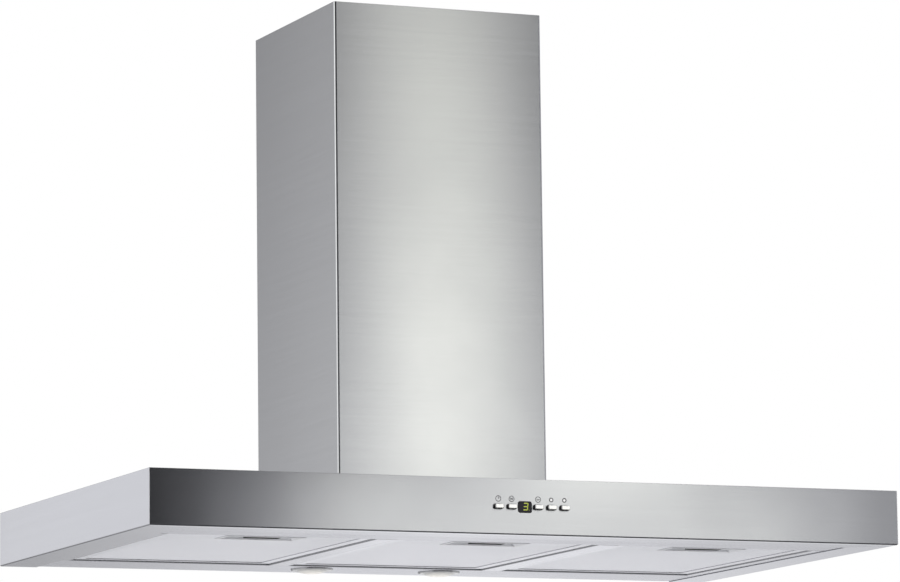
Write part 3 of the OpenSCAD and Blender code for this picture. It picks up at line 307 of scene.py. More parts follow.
# Wiping marks and grease haze, which change the gloss a little from place to place.
haze, given, out = shader_group("haze", {"Position": ("Vector", None), "Size": ("Float", 6.0)},
                                {"Haze": "Float"})
cloud = noise(haze, given["Position"], given["Size"], 4.0, 0.6)
haze.links.new(spread(haze, cloud, 0.35, 0.7), out["Haze"])


# Painted shade: the colour turns dark where two pieces stand close together, found by ambient occlusion,
# and along the bends that face down and the front half of upright bends, as a painted dark reflection.
crevice_shade, given, out = shader_group("crevice_shade", {"Reach": ("Float", 0.006), "Facing": ("Vector", None)},
                                   {"Gap": "Float", "BendShade": "Float"})
shade = put(crevice_shade, "AmbientOcclusion", {"Distance": given["Reach"]}, samples=8).outputs["AO"]
crevice_shade.links.new(spread(crevice_shade, shade, 0.75, 0.25), out["Gap"])
parts = put(crevice_shade, "SeparateXYZ", {0: vector_calc(crevice_shade, "ABSOLUTE", given["Facing"])}).outputs
steepest = calc(crevice_shade, "MAXIMUM", calc(crevice_shade, "MAXIMUM", parts["X"], parts["Y"]), parts["Z"])
rise = put(crevice_shade, "SeparateXYZ", {0: given["Facing"]}).outputs["Z"]
forward = spread(crevice_shade, calc(crevice_shade, "SUBTRACT", parts["Y"], parts["X"]), 0.0, 0.2)
upright_bend = calc(crevice_shade, "MULTIPLY", forward, spread(crevice_shade, parts["Z"], 0.2, 0.1))
painted_bend_shade = calc(crevice_shade, "MAXIMUM", spread(crevice_shade, rise, -0.10, -0.25), upright_bend)
crevice_shade.links.new(calc(crevice_shade, "MULTIPLY", spread(crevice_shade, steepest, 0.985, 0.88), painted_bend_shade), out["BendShade"])


# Colour of the painted shade in gaps and bends.
shade_grey = (0.05, 0.05, 0.055)


def new_finish(name):
    """Empty material with its shader, its place on the piece and its surface direction."""
    material = bpy.data.materials.new(name)
    material.use_nodes = True
    tree = material.node_tree
    shader = tree.nodes["Principled BSDF"]
    place = put(tree, "TexCoord").outputs["Object"]
    facing = put(tree, "NewGeometry").outputs["Normal"]
    return material, tree, shader, place, facing


def bumped(tree, shader, height, distance, normal, strength=1.0):
    """Gives the shader a bump in metres over a normal."""
    bump = put(tree, "Bump", {"Height": height, "Distance": distance, "Strength": strength,
                              "Normal": normal})
    tree.links.new(bump.outputs[0], shader.inputs["Normal"])


def looks_sideways(tree, facing):
    """One on faces that look along X, nought elsewhere."""
    return calc(tree, "GREATER_THAN",
                calc(tree, "ABSOLUTE", put(tree, "SeparateXYZ", {0: facing}).outputs["X"]), 0.7)


def brushed_steel(name, colour, gloss=0.20, lines=0.04, along_y=False, bend_shade=0.55, highlight_edge=None):
    """Brushed stainless sheet with rubbed edges, haze and painted shade in gaps and bends; given a front's
    y, a painted highlight behind it.
    """
    material, tree, shader, place, facing = new_finish(name)
    sideways = 1.0 if along_y else looks_sideways(tree, facing)
    brush = effect(tree, brush_lines, {"Position": place, "Sideways": sideways})
    rub = effect(tree, edge_rub, {"Position": place, "Reach": 0.0008})
    cloud = effect(tree, haze, {"Position": place, "Size": 5.0})["Haze"]
    tone = spread(tree, brush["Tone"], 0.0, 1.0, 1.0 - lines, 1.0 + lines)
    steel = tinted_by(tree, colour, tone)
    steel = shift(tree, rub["Rub"], 0.35, steel, (0.78, 0.78, 0.78))
    # Painted shade: bends and close gaps are coloured dark.
    painted_shade = effect(tree, crevice_shade, {"Facing": facing})
    steel = shift(tree, painted_shade["BendShade"], bend_shade, steel, (0.06, 0.06, 0.065))
    # Painted highlight: a bright strip on the face that looks down, just behind the front edge.
    if highlight_edge is not None:
        behind = calc(tree, "SUBTRACT", put(tree, "SeparateXYZ", {0: place}).outputs["Y"], highlight_edge)
        down = spread(tree, put(tree, "SeparateXYZ", {0: facing}).outputs["Z"], -0.97, -0.995)
        painted_highlight = calc(tree, "MULTIPLY", down, spread(tree, behind, 0.013, 0.008))
        steel = tint(tree, painted_highlight, steel, (0.76, 0.77, 0.81, 1))
    steel = shift(tree, painted_shade["Gap"], 0.85, steel, shade_grey)
    tree.links.new(steel, shader.inputs["Base Color"])
    shader.inputs["Metallic"].default_value = 1.0
    shader.inputs["Anisotropic"].default_value = 0.85
    rough = spread(tree, cloud, 0.0, 1.0, gloss - 0.015, gloss + 0.035)
    rough = calc(tree, "ADD", rough, calc(tree, "MULTIPLY", brush["Tone"], 0.03))
    tree.links.new(rough, shader.inputs["Roughness"])
    line_way = put(tree, "Mix", {0: sideways, 4: (1, 0, 0), 5: (0, 1, 0)}, data_type="VECTOR").outputs[1]
    tree.links.new(vector_calc(tree, "CROSS_PRODUCT", facing, line_way), shader.inputs["Tangent"])
    bumped(tree, shader, brush["Height"], 0.00001, rub["Rounded"])
    return material


# Galvanised sheet shows its zinc crystals as a patchwork of greys.
spangle, given, out = shader_group("spangle", {"Position": ("Vector", None), "Size": ("Float", 90.0)},
                                   {"Tone": "Float", "Gloss": "Float"})
warp = put(spangle, "TexNoise", {"Vector": given["Position"], "Scale": 140.0}).outputs["Color"]
bent = vector_calc(spangle, "MULTIPLY_ADD", warp, (0.004, 0.004, 0.004), given["Position"])
crystals = put(spangle, "TexVoronoi", {"Vector": bent, "Scale": given["Size"]})
crystal = put(spangle, "SeparateColor", {0: crystals.outputs["Color"]})
spangle.links.new(crystal.outputs[0], out["Tone"])
spangle.links.new(crystal.outputs[1], out["Gloss"])


def galvanised(name, colour=(0.50, 0.52, 0.54)):
    """Zinc-coated steel sheet."""
    material, tree, shader, place, _ = new_finish(name)
    flake = effect(tree, spangle, {"Position": place})
    rub = effect(tree, edge_rub, {"Position": place, "Reach": 0.0006})
    cloud = effect(tree, haze, {"Position": place, "Size": 9.0})["Haze"]
    light = spread(tree, flake["Tone"], 0.0, 1.0, 0.86, 1.12)
    zinc = tinted_by(tree, colour, light)
    zinc = shift(tree, cloud, 0.25, zinc, (0.40, 0.41, 0.42))
    zinc = shift(tree, rub["Rub"], 0.4, zinc, (0.66, 0.67, 0.68))
    tree.links.new(zinc, shader.inputs["Base Color"])
    shader.inputs["Metallic"].default_value = 0.9
    tree.links.new(spread(tree, flake["Gloss"], 0.0, 1.0, 0.34, 0.5), shader.inputs["Roughness"])
    bumped(tree, shader, cloud, 0.0002, rub["Rounded"], 0.4)
    return material


def finish(material, *names):
    """Gives CAD nodes their material."""
    for name in names:
        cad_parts[name].material_slots[0].material = material


shell_steel = (0.592, 0.60, 0.645)
panel_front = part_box("front_panel")[0].y
finish(brushed_steel("brushed_front", shell_steel, highlight_edge=panel_front), "front_panel")
# The sides take a darker copy of the shell steel, as painted shade.
finish(brushed_steel("brushed_side", (0.545, 0.552, 0.60), along_y=True),
       "side_panel_left", "side_panel_right")
finish(brushed_steel("brushed_top", shell_steel), "top_plate")
finish(galvanised("galvanised_back"), "back_plate")

# The front's windows leave slivers of triangle across its face, so each face is shaded by its own plane.
own_planes = bpy.data.node_groups.new("own_planes", "GeometryNodeTree")
own_planes.interface.new_socket("Geometry", in_out="INPUT", socket_type="NodeSocketGeometry")
own_planes.interface.new_socket("Geometry", in_out="OUTPUT", socket_type="NodeSocketGeometry")
bare = own_planes.nodes.new("GeometryNodeRemoveAttribute")
bare.inputs["Name"].default_value = "custom_normal"
plain = own_planes.nodes.new("GeometryNodeSetShadeSmooth")
plain.inputs["Shade Smooth"].default_value = False
own_planes.links.new(own_planes.nodes.new("NodeGroupInput").outputs[0], bare.inputs["Geometry"])
own_planes.links.new(bare.outputs[0], plain.inputs["Geometry"])
own_planes.links.new(plain.outputs[0], own_planes.nodes.new("NodeGroupOutput").inputs[0])
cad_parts["front_panel"].modifiers.new("own_planes", "NODES").node_group = own_planes


# Underside frame. Folded stainless strips round the three filters: lamp panel, front rail, side rails and
# the two dividers, with a finer and duller brush than the shell's.
frame_steel = (0.60, 0.605, 0.65)
finish(brushed_steel("underside_sheet", frame_steel, gloss=0.24, lines=0.03), "lamp_panel", "front_rail")
finish(brushed_steel("underside_strip", frame_steel, gloss=0.24, lines=0.03, along_y=True),
       "side_rail_left", "side_rail_right", "divider_left", "divider_right")


# Lamps. Each has a turned ring with a satin chrome plating, a domed frosted glass, and behind it a
# pebbled reflector cup with a halogen capsule in a ceramic socket.
def satin_chrome(name, colour=(0.66, 0.66, 0.67), gloss=0.16):
    """Plated metal, with a slight haze."""
    material, tree, shader, place, _ = new_finish(name)
    rub = effect(tree, edge_rub, {"Position": place, "Reach": 0.0005})
    cloud = effect(tree, haze, {"Position": place, "Size": 40.0})["Haze"]
    plate = tint(tree, calc(tree, "MULTIPLY", rub["Rub"], 0.5), (*colour, 1), (0.85, 0.85, 0.85, 1))
    tree.links.new(plate, shader.inputs["Base Color"])
    shader.inputs["Metallic"].default_value = 1.0
    tree.links.new(spread(tree, cloud, 0.0, 1.0, gloss, gloss + 0.08), shader.inputs["Roughness"])
    bumped(tree, shader, cloud, 0.00005, rub["Rounded"], 0.3)
    return material


finish(satin_chrome("lamp_chrome", (0.42, 0.42, 0.43), 0.14), "lamp_ring_left", "lamp_ring_right")

lamp_low, lamp_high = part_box("lamp_glass_right")
lamp_middle = (lamp_low + lamp_high) / 2
lamp_radius = (lamp_high.x - lamp_low.x) / 2


def lamp_distance(tree, place):
    """Distance from a lamp's axis, as a share of the glass's radius."""
    parts = put(tree, "SeparateXYZ", {0: place})
    across = calc(tree, "SUBTRACT", calc(tree, "ABSOLUTE", parts.outputs["X"]), lamp_middle.x)
    deep = calc(tree, "SUBTRACT", parts.outputs["Y"], lamp_middle.y)
    both = put(tree, "CombineXYZ", {"X": across, "Y": deep}).outputs[0]
    return calc(tree, "DIVIDE", vector_calc(tree, "LENGTH", both), lamp_radius)


material, tree, shader, place, facing = new_finish("frosted_lamp_glass")
away = lamp_distance(tree, place)
frost = noise(tree, place, 1600.0, 2.0)
warm = tint(tree, spread(tree, away, 0.3, 1.0), (0.93, 0.915, 0.89, 1), (0.72, 0.725, 0.73, 1))
tree.links.new(warm, shader.inputs["Base Color"])
tree.links.new(spread(tree, frost, 0.3, 0.7, 0.22, 0.38), shader.inputs["Roughness"])
shader.inputs["Transmission Weight"].default_value = 0.35
shader.inputs["IOR"].default_value = 1.5
glow = tint(tree, spread(tree, away, 0.0, 0.85), (0.26, 0.245, 0.22, 1), (0.01, 0.01, 0.01, 1))
tree.links.new(glow, shader.inputs["Emission Color"])
shader.inputs["Emission Strength"].default_value = 1.0
bumped(tree, shader, frost, 0.00004, facing, 0.5)
finish(material, "lamp_glass_left", "lamp_glass_right")

material, tree, shader, place, facing = new_finish("pebbled_reflector")
pebble = put(tree, "TexVoronoi", {"Vector": place, "Scale": 420.0}).outputs["Distance"]
bright = tint(tree, spread(tree, pebble, 0.0, 0.8), (0.92, 0.91, 0.89, 1), (0.80, 0.79, 0.77, 1))
tree.links.new(bright, shader.inputs["Base Color"])
shader.inputs["Metallic"].default_value = 1.0
tree.links.new(spread(tree, pebble, 0.0, 0.8, 0.10, 0.2), shader.inputs["Roughness"])
bumped(tree, shader, pebble, 0.0008, facing)
finish(material, "lamp_reflectors")

# The socket is white ceramic; the capsule below it is clear glass with a warm glow from the filament.
material, tree, shader, place, facing = new_finish("halogen_capsule")
socket_h = 0.020
socket_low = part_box("lamp_bulbs")[1].z - socket_h
in_socket = calc(tree, "GREATER_THAN", put(tree, "SeparateXYZ", {0: place}).outputs["Z"], socket_low)
grain = noise(tree, place, 500.0, 3.0)
ceramic = tint(tree, grain, (0.80, 0.79, 0.75, 1), (0.88, 0.87, 0.84, 1))
tree.links.new(tint(tree, in_socket, (0.95, 0.93, 0.88, 1), ceramic), shader.inputs["Base Color"])
tree.links.new(spread(tree, in_socket, 0.0, 1.0, 0.06, 0.6), shader.inputs["Roughness"])
tree.links.new(tint(tree, in_socket, (1.0, 0.82, 0.55, 1), (0, 0, 0, 1)), shader.inputs["Emission Color"])
shader.inputs["Emission Strength"].default_value = 1.2
bumped(tree, shader, grain, 0.00005, facing, 0.4)
finish(material, "lamp_bulbs")


# Push buttons. Caps with a bright silver plated face; from the eased edge back the flanks are coloured
# black as a painted dark reflection. Behind them sit the moulded guide and the circuit board.
button_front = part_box("button_fan")[0].y
button_names = ("button_timer", "button_fan", "button_minus", "button_plus", "button_light")

material, tree, shader, place, facing = new_finish("plated_cap")
rub = effect(tree, edge_rub, {"Position": place, "Reach": 0.0004})
toward_front = calc(tree, "MULTIPLY", put(tree, "SeparateXYZ", {0: facing}).outputs["Y"], -1.0)
depth = calc(tree, "SUBTRACT", put(tree, "SeparateXYZ", {0: place}).outputs["Y"], button_front)
on_face = calc(tree, "MULTIPLY", spread(tree, toward_front, 0.35, 0.6), spread(tree, depth, 0.0012, 0.0008))
speck = noise(tree, place, 900.0, 2.0)
silver = tint(tree, speck, (0.93, 0.93, 0.93, 1), (0.98, 0.98, 0.98, 1))
# Painted dark reflection: the flanks are coloured black.
flank_dark_reflection = tint(tree, speck, (0.010, 0.010, 0.011, 1), (0.018, 0.018, 0.020, 1))
tree.links.new(tint(tree, on_face, flank_dark_reflection, silver), shader.inputs["Base Color"])
tree.links.new(calc(tree, "MULTIPLY", on_face, 0.85), shader.inputs["Metallic"])
tree.links.new(spread(tree, on_face, 0.0, 1.0, 0.42, 0.20), shader.inputs["Roughness"])
bumped(tree, shader, speck, 0.00002, rub["Rounded"], 0.5)
finish(material, *button_names)


moulded_grain, given, out = shader_group(
    "moulded_grain", {"Position": ("Vector", None), "Grain": ("Float", 900.0)},
    {"Tone": "Float", "Height": "Float"})
flow = noise(moulded_grain, given["Position"], 12.0, 4.0, 0.6)
texture = noise(moulded_grain, given["Position"], given["Grain"], 2.0, 0.6)
moulded_grain.links.new(spread(moulded_grain, flow, 0.3, 0.7), out["Tone"])
moulded_grain.links.new(texture, out["Height"])


def moulded_plastic(name, colour, gloss=0.4, grain=900.0, relief=0.00004):
    """Injection-moulded plastic: fine texture, flow marks and slightly paler edges."""
    material, tree, shader, place, _ = new_finish(name)
    mould = effect(tree, moulded_grain, {"Position": place, "Grain": grain})
    rub = effect(tree, edge_rub, {"Position": place, "Reach": 0.0008})
    darker = tuple(0.88 * part for part in colour)
    paler = tuple(min(1.0, 1.25 * part + 0.03) for part in colour)
    shade = tint(tree, mould["Tone"], (*darker, 1), (*colour, 1))
    shade = shift(tree, rub["Rub"], 0.5, shade, paler)
    tree.links.new(shade, shader.inputs["Base Color"])
    tree.links.new(spread(tree, mould["Tone"], 0.0, 1.0, gloss - 0.04, gloss + 0.06),
                   shader.inputs["Roughness"])
    bumped(tree, shader, mould["Height"], relief, rub["Rounded"])
    return material


finish(moulded_plastic("guide_plastic", (0.16, 0.16, 0.17), 0.45), "button_guide")

# Green lacquer over a grid of copper tracks, with tinned pads between them.
material, tree, shader, place, facing = new_finish("circuit_board")
track_pitch = 420.0
flat_place = vector_calc(tree, "MULTIPLY", place, (track_pitch, 0.0, track_pitch))
cells = put(tree, "TexVoronoi", {"Vector": flat_place, "Scale": 1.0}, distance="MANHATTAN")
tracks = spread(tree, calc(tree, "PINGPONG", cells.outputs["Distance"], 0.25), 0.10, 0.14)
pads = spread(tree, cells.outputs["Distance"], 0.16, 0.12)
lacquer = tint(tree, tracks, (0.010, 0.075, 0.032, 1), (0.022, 0.135, 0.055, 1))
tree.links.new(tint(tree, pads, lacquer, (0.62, 0.62, 0.60, 1)), shader.inputs["Base Color"])
tree.links.new(pads, shader.inputs["Metallic"])
tree.links.new(spread(tree, pads, 0.0, 1.0, 0.30, 0.35), shader.inputs["Roughness"])
bumped(tree, shader, tracks, 0.00004, facing)
finish(material, "control_board")


# Printed marks over the buttons. Thin grey rings with plain strokes for clock, fan and minus, and with
# white centres for plus and lamp, six hundredths of a millimetre proud of the steel.
mark_lift = 0.00006
mark_z = 0.0087
mark_line = 0.00055


def ring_solid(mesh, centre, outer, inner, front, back, sides=40):
    """Flat ring that faces the front, as a closed solid."""
    corners = []
    for k in range(sides):
        turn = 2 * math.pi * k / sides
        way = (math.cos(turn), math.sin(turn))
        corners.append([mesh.verts.new((centre[0] + radius * way[0], y, centre[1] + radius * way[1]))
                        for radius, y in ((outer, front), (outer, back), (inner, back), (inner, front))])
    for k in range(sides):
        here, there = corners[k], corners[(k + 1) % sides]
        for side in range(4):
            after = (side + 1) % 4
            mesh.faces.new((here[side], there[side], there[after], here[after]))


def plate_solid(mesh, outline, front, back):
    """Flat plate of any outline, given as (x, z) points, that faces the front."""
    near = [mesh.verts.new((x, front, z)) for x, z in outline]
    far = [mesh.verts.new((x, back, z)) for x, z in outline]
    mesh.faces.new(near)
    mesh.faces.new(list(reversed(far)))
    count = len(outline)
    for k in range(count):
        after = (k + 1) % count
        mesh.faces.new((near[k], far[k], far[after], near[after]))


def stroke(start, end, width):
    """Outline of a straight line with pointed ends."""
    start, end = Vector(start), Vector(end)
    along = (end - start).normalized() * width / 2
    across = Vector((-along.y, along.x))
    return [start - along, start + across, end + across, end + along, end - across, start - across]


def piece_from(name, build, material):
    """New piece on the fixed body, made by a function that fills a mesh."""
    mesh = bmesh.new()
    build(mesh)
    bmesh.ops.recalc_face_normals(mesh, faces=mesh.faces)
    data = bpy.data.meshes.new(name)
    mesh.to_mesh(data)
    mesh.free()
    data.materials.append(material)
    made = bpy.data.objects.new(name, data)
    bpy.context.scene.collection.objects.link(made)
    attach(made, "hood")


material, tree, shader, place, _ = new_finish("mark_ink")
ink = tint(tree, noise(tree, place, 2500.0, 2.0), (0.05, 0.05, 0.055, 1), (0.09, 0.09, 0.095, 1))
tree.links.new(ink, shader.inputs["Base Color"])
shader.inputs["Roughness"].default_value = 0.5
mark_ink = material

material, tree, shader, place, _ = new_finish("mark_white")
ink = tint(tree, noise(tree, place, 2500.0, 2.0), (0.86, 0.86, 0.86, 1), (0.93, 0.93, 0.93, 1))
tree.links.new(ink, shader.inputs["Base Color"])
shader.inputs["Roughness"].default_value = 0.4
mark_white = material

mark_strokes = {
    "button_timer": [((0, 0), (0, 0.0023)), ((0, 0), (0.0015, 0.0009))],
    "button_fan": [((-0.0014, -0.0014), (0.0014, 0.0014)), ((-0.0014, 0.0014), (0.0014, -0.0014)),
                   ((-0.0020, 0), (0.0020, 0))],
    "button_minus": [((-0.0018, 0.0004), (0.0018, 0.0004)), ((-0.0018, -0.0006), (0.0018, -0.0006))],
    "button_plus": [],
    "button_light": [],
}
mark_rings = {"button_timer": (0.0034, 0.0027), "button_fan": (0.0034, 0.0027),
              "button_minus": (0.0034, 0.0027), "button_plus": (0.0026, 0.0016),
              "button_light": (0.0026, 0.0016)}
centre_share = 0.92
centre_sides = 24
for button in button_names:
    low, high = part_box(button)
    middle = ((low.x + high.x) / 2, mark_z)

    def build_mark(mesh, button=button, middle=middle):
        outer, inner = mark_rings[button]
        ring_solid(mesh, middle, outer, inner, panel_front - mark_lift, panel_front)
        for start, end in mark_strokes[button]:
            outline = stroke((middle[0] + start[0], middle[1] + start[1]),
                             (middle[0] + end[0], middle[1] + end[1]), mark_line)
            plate_solid(mesh, outline, panel_front - mark_lift, panel_front)

    piece_from("mark_" + button.split("_")[1], build_mark, mark_ink)

    def build_centre(mesh, button=button, middle=middle):
        reach = centre_share * mark_rings[button][1]
        turns = [2 * math.pi * k / centre_sides for k in range(centre_sides)]
        rim = [(middle[0] + reach * math.cos(turn), middle[1] + reach * math.sin(turn)) for turn in turns]
        plate_solid(mesh, rim, panel_front - mark_lift, panel_front)

    if not mark_strokes[button]:
        piece_from("centre_" + button.split("_")[1], build_centre, mark_white)


# Display. A smoked window with rounded corners over a seven-segment module, whose digit and point glow
# yellow-green through it.
window_low, window_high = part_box("display_window")
material, tree, shader, place, _ = new_finish("smoked_window")
rub = effect(tree, edge_rub, {"Position": place, "Reach": 0.0004})
smoke = noise(tree, place, 60.0, 3.0)
tree.links.new(tint(tree, smoke, (0.006, 0.006, 0.009, 1), (0.012, 0.012, 0.017, 1)),
               shader.inputs["Base Color"])
tree.links.new(spread(tree, smoke, 0.3, 0.7, 0.07, 0.12), shader.inputs["Roughness"])
shader.inputs["Specular IOR Level"].default_value = 0.25
bumped(tree, shader, smoke, 0.00002, rub["Rounded"], 0.3)
finish(material, "display_window")
finish(moulded_plastic("module_case", (0.022, 0.022, 0.024), 0.5), "display_module")

digit_w = 0.0057
digit_h = 0.0084
digit_bar = 0.0011
digit_slant = math.tan(math.radians(7))
digit_x = window_low.x + 0.55 * (window_high.x - window_low.x)
digit_z = (window_low.z + window_high.z) / 2 + 0.0005
digit_lift = 0.00005
segment_gap = 0.00012
point_step = 0.0021
point_outer = 0.0004
point_inner = 0.0001

material, tree, shader, place, _ = new_finish("lit_segment")
dots = noise(tree, place, 1800.0, 1.0)
lit = tint(tree, dots, (0.29, 0.34, 0.035, 1), (0.38, 0.43, 0.06, 1))
tree.links.new(lit, shader.inputs["Base Color"])
tree.links.new(lit, shader.inputs["Emission Color"])
shader.inputs["Emission Strength"].default_value = 0.36
shader.inputs["Roughness"].default_value = 0.3


def build_digit(mesh):
    half_w = (digit_w - digit_bar) / 2
    half_h = (digit_h - digit_bar) / 2
    bars = [((-half_w, level), (half_w, level)) for level in (half_h, 0, -half_h)]
    bars += [((half_w, half_h), (half_w, 0)), ((half_w, 0), (half_w, -half_h))]
    for start, end in bars:
        start, end = Vector(start), Vector(end)
        inset = (end - start).normalized() * segment_gap
        outline = stroke(start + inset, end - inset, digit_bar)
        outline = [(digit_x + x + digit_slant * z, digit_z + z) for x, z in outline]
        plate_solid(mesh, outline, window_low.y - digit_lift, window_low.y)
    point = (digit_x + half_w + point_step - digit_slant * half_h, digit_z - half_h)
    ring_solid(mesh, point, point_outer, point_inner, window_low.y - digit_lift, window_low.y, 16)


piece_from("display_digit", build_digit, material)


# Grease filters. An aluminium frame rolled round two expanded sheets, a pressed finger cup near its
# front, and a black sliding latch whose bar shows in the cup.
filter_places = ("left", "middle", "right")
material, tree, shader, place, facing = new_finish("filter_aluminium")
brush = effect(tree, brush_lines, {"Position": place})
rub = effect(tree, edge_rub, {"Position": place, "Reach": 0.0008})
cloud = effect(tree, haze, {"Position": place, "Size": 14.0})["Haze"]
alloy = tint(tree, brush["Tone"], (0.76, 0.765, 0.81, 1), (0.82, 0.825, 0.87, 1))
alloy = shift(tree, rub["Rub"], 0.5, alloy, (0.90, 0.90, 0.92))
# Painted shade where the frame stands close to other parts.
gap_shade = effect(tree, crevice_shade, {"Facing": facing})["Gap"]
alloy = shift(tree, gap_shade, 0.85, alloy, shade_grey)
tree.links.new(alloy, shader.inputs["Base Color"])
shader.inputs["Metallic"].default_value = 1.0
tree.links.new(spread(tree, cloud, 0.0, 1.0, 0.34, 0.44), shader.inputs["Roughness"])
bumped(tree, shader, brush["Height"], 0.00003, rub["Rounded"])
finish(material, *("filter_frame_" + where for where in filter_places))

# Strands of the expanded sheet make rows of diamonds, four millimetres long and two wide.
diamond_l = 0.0042
diamond_w = 0.0022
expanded_sheet, given, out = shader_group(
    "expanded_sheet", {"Position": ("Vector", None)}, {"Strand": "Float", "Height": "Float"})
parts = put(expanded_sheet, "SeparateXYZ", {0: given["Position"]})
along = calc(expanded_sheet, "MULTIPLY", parts.outputs["X"], 1 / diamond_l)
deep = calc(expanded_sheet, "MULTIPLY", parts.outputs["Y"], 1 / diamond_w)
rising = calc(expanded_sheet, "PINGPONG", calc(expanded_sheet, "ADD", along, deep), 0.5)
falling = calc(expanded_sheet, "PINGPONG", calc(expanded_sheet, "SUBTRACT", along, deep), 0.5)
nearest = calc(expanded_sheet, "MINIMUM", rising, falling)
expanded_sheet.links.new(spread(expanded_sheet, nearest, 0.20, 0.10), out["Strand"])
expanded_sheet.links.new(spread(expanded_sheet, nearest, 0.28, 0.02), out["Height"])

material, tree, shader, place, facing = new_finish("expanded_mesh")
strands = effect(tree, expanded_sheet, {"Position": place})
brush = effect(tree, brush_lines, {"Position": place})
cloud = effect(tree, haze, {"Position": place, "Size": 7.0})["Haze"]
# The darker colour between the strands is painted shade for the holes.
alloy = tint(tree, strands["Strand"], (0.72, 0.725, 0.77, 1), (0.89, 0.895, 0.94, 1))
alloy = shift(tree, brush["Tone"], 0.18, alloy, (0.90, 0.905, 0.94))
tree.links.new(alloy, shader.inputs["Base Color"])
shader.inputs["Metallic"].default_value = 0.85
tree.links.new(spread(tree, cloud, 0.0, 1.0, 0.42, 0.52), shader.inputs["Roughness"])
bumped(tree, shader, strands["Height"], 0.00025, facing)
finish(material, *("filter_mesh_" + where for where in filter_places))

material, tree, shader, place, _ = new_finish("cup_steel")
rub = effect(tree, edge_rub, {"Position": place, "Reach": 0.0010})
cloud = effect(tree, haze, {"Position": place, "Size": 60.0})["Haze"]
pressed = tint(tree, cloud, (0.74, 0.745, 0.78, 1), (0.80, 0.805, 0.84, 1))
pressed = shift(tree, rub["Rub"], 0.5, pressed, (0.90, 0.90, 0.91))
tree.links.new(pressed, shader.inputs["Base Color"])
shader.inputs["Metallic"].default_value = 0.25
tree.links.new(spread(tree, cloud, 0.0, 1.0, 0.46, 0.54), shader.inputs["Roughness"])
bumped(tree, shader, cloud, 0.00005, rub["Rounded"], 0.4)
finish(material, *("handle_cup_" + where for where in filter_places))

# The latch is dull black nylon with fine grip ribs across its bar.
material, tree, shader, place, _ = new_finish("latch_black")
mould = effect(tree, moulded_grain, {"Position": place, "Grain": 900.0})
rub = effect(tree, edge_rub, {"Position": place, "Reach": 0.0006})
ribs_per_metre = 500.0
across = put(tree, "SeparateXYZ", {0: place}).outputs["X"]
ribs = calc(tree, "PINGPONG", calc(tree, "MULTIPLY", across, ribs_per_metre), 0.5)
nylon = tint(tree, mould["Tone"], (0.007, 0.007, 0.008, 1), (0.012, 0.012, 0.013, 1))
nylon = shift(tree, rub["Rub"], 0.4, nylon, (0.03, 0.03, 0.032))
tree.links.new(nylon, shader.inputs["Base Color"])
tree.links.new(spread(tree, mould["Tone"], 0.0, 1.0, 0.60, 0.72), shader.inputs["Roughness"])
shader.inputs["Specular IOR Level"].default_value = 0.03
bumped(tree, shader, ribs, 0.0003, rub["Rounded"])
finish(material, *("latch_" + where for where in filter_places))


# Blower box. Galvanised sheet folded and spot-welded, screwed to the canopy's top by hexagon-head
# screws with a bright zinc plating.
finish(galvanised("galvanised_box", (0.52, 0.54, 0.56)), "airbox")
finish(satin_chrome("plated_screw", (0.62, 0.62, 0.58), 0.25), "airbox_screws")


# Blower. A double-inlet impeller in pale moulded plastic turns in a dark grey scroll of glass-filled
# polypropylene; its motor hangs from a galvanised spider on rubber buffers.
finish(moulded_plastic("scroll_plastic", (0.085, 0.09, 0.098), 0.42, 700.0, 0.00008),
       "scroll_wrapper", "scroll_cheek_left", "scroll_cheek_right", "outlet_transition")
finish(moulded_plastic("impeller_plastic", (0.42, 0.43, 0.44), 0.36, 1100.0), "impeller")
finish(galvanised("galvanised_spider", (0.54, 0.55, 0.57)), "motor_bracket")
finish(moulded_plastic("black_rubber", (0.02, 0.02, 0.02), 0.7, 1500.0, 0.00005), "rubber_mounts")

material, tree, shader, place, facing = new_finish("ground_shaft")
rings = noise(tree, vector_calc(tree, "MULTIPLY", place, (1500, 60, 60)), 1.0, 2.0)
tree.links.new(tint(tree, rings, (0.52, 0.52, 0.53, 1), (0.66, 0.66, 0.67, 1)), shader.inputs["Base Color"])
shader.inputs["Metallic"].default_value = 1.0
tree.links.new(spread(tree, rings, 0.3, 0.7, 0.16, 0.3), shader.inputs["Roughness"])
bumped(tree, shader, rings, 0.00002, facing)
finish(material, "motor_shaft", "damper_spindle")

# The motor's pressed end shields are zinc grey, and the stack of laminations between them is darker.
motor_low, motor_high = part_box("motor")
motor_middle = (motor_low.x + motor_high.x) / 2
stack_half = 0.0125
stack_sheets_per_metre = 1000.0
material, tree, shader, place, _ = new_finish("motor_case")
rub = effect(tree, edge_rub, {"Position": place, "Reach": 0.0008})
cloud = effect(tree, haze, {"Position": place, "Size": 30.0})["Haze"]
x = put(tree, "SeparateXYZ", {0: place}).outputs["X"]
off_middle = calc(tree, "ABSOLUTE", calc(tree, "SUBTRACT", x, motor_middle))
in_stack = spread(tree, off_middle, stack_half + 0.0002, stack_half - 0.0002)
sheets = calc(tree, "PINGPONG", calc(tree, "MULTIPLY", x, stack_sheets_per_metre), 0.5)
stack = tint(tree, spread(tree, sheets, 0.1, 0.4), (0.10, 0.10, 0.105, 1), (0.24, 0.24, 0.25, 1))
shield = tint(tree, cloud, (0.44, 0.45, 0.46, 1), (0.52, 0.53, 0.54, 1))
shield = shift(tree, rub["Rub"], 0.5, shield, (0.7, 0.7, 0.71))
tree.links.new(tint(tree, in_stack, shield, stack), shader.inputs["Base Color"])
shader.inputs["Metallic"].default_value = 0.9
tree.links.new(spread(tree, cloud, 0.0, 1.0, 0.34, 0.44), shader.inputs["Roughness"])
bumped(tree, shader, calc(tree, "MULTIPLY", sheets, in_stack), 0.0003, rub["Rounded"])
finish(material, "motor")


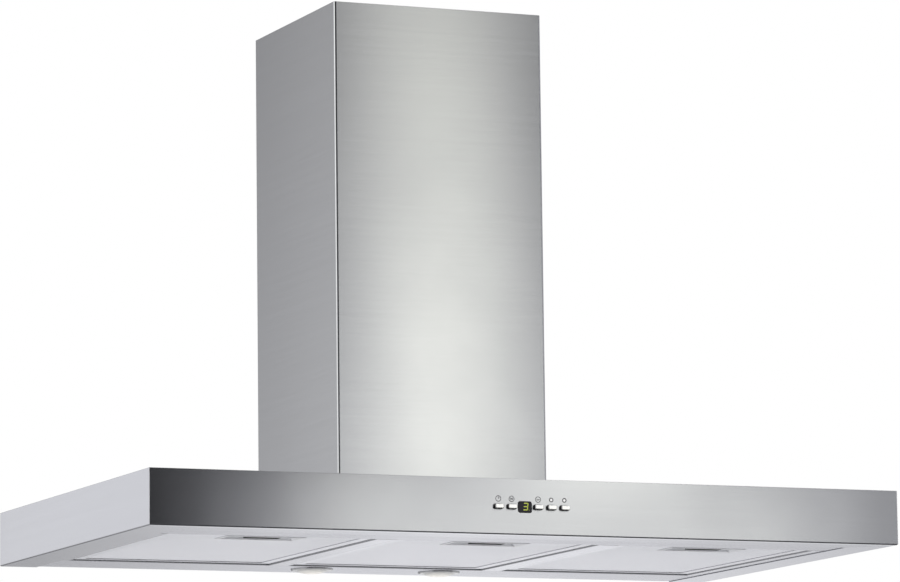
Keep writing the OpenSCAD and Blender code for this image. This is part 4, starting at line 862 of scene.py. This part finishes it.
# Outlet. A moulded collar for the duct with two damper flaps on a steel spindle.
finish(moulded_plastic("collar_plastic", (0.12, 0.125, 0.13), 0.42, 800.0, 0.00006),
       "outlet_collar", "damper_flap_rear", "damper_flap_front")


# Electrics. A polyamide gland, a white terminal housing with its lid, a lamp transformer with a taped
# winding in a laminated core, and round PVC leads.
finish(moulded_plastic("gland_plastic", (0.03, 0.03, 0.032), 0.45), "cable_gland")
finish(moulded_plastic("box_plastic", (0.72, 0.72, 0.70), 0.42), "control_box")
finish(moulded_plastic("lead_jacket", (0.30, 0.30, 0.31), 0.48, 1400.0, 0.00002), "wiring")

core_low, core_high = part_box("lamp_transformer")
core_y = (core_low.y + core_high.y) / 2
core_half = 0.0100
core_sheets_per_metre = 1400.0
tape_turns_per_metre = 180.0
foot_t = 0.0016
foot_z = core_high.z - foot_t
material, tree, shader, place, _ = new_finish("transformer_core")
rub = effect(tree, edge_rub, {"Position": place, "Reach": 0.0008})
parts = put(tree, "SeparateXYZ", {0: place})
off_core = calc(tree, "ABSOLUTE", calc(tree, "SUBTRACT", parts.outputs["Y"], core_y))
taped = spread(tree, off_core, core_half + 0.0001, core_half + 0.0003)
footed = calc(tree, "GREATER_THAN", parts.outputs["Z"], foot_z)
taped = calc(tree, "MULTIPLY", taped, calc(tree, "SUBTRACT", 1.0, footed))
sheets = calc(tree, "PINGPONG", calc(tree, "MULTIPLY", parts.outputs["Y"], core_sheets_per_metre), 0.5)
lamination = tint(tree, spread(tree, sheets, 0.1, 0.4), (0.10, 0.10, 0.11, 1), (0.27, 0.27, 0.28, 1))
turns = calc(tree, "PINGPONG", calc(tree, "MULTIPLY", parts.outputs["X"], tape_turns_per_metre), 0.5)
tape = tint(tree, spread(tree, turns, 0.0, 0.08), (0.55, 0.36, 0.03, 1), (0.78, 0.55, 0.06, 1))
coat = tint(tree, taped, tint(tree, footed, lamination, (0.50, 0.51, 0.52, 1)), tape)
tree.links.new(coat, shader.inputs["Base Color"])
tree.links.new(spread(tree, taped, 0.0, 1.0, 0.9, 0.0), shader.inputs["Metallic"])
tree.links.new(spread(tree, taped, 0.0, 1.0, 0.38, 0.26), shader.inputs["Roughness"])
bumped(tree, shader, sheets, 0.0002, rub["Rounded"], 0.6)
finish(material, "lamp_transformer")


# Chimney. Two telescoping covers folded from brushed stainless sheet; the lower one stands on the
# canopy, and the upper one hangs on a galvanised wall bracket.
# The lower chimney's bends carry a stronger painted shade.
finish(brushed_steel("brushed_chimney", shell_steel, bend_shade=0.9), "chimney_lower")
finish(brushed_steel("brushed_chimney_upper", shell_steel), "chimney_upper")
finish(galvanised("galvanised_bracket"), "upper_bracket")
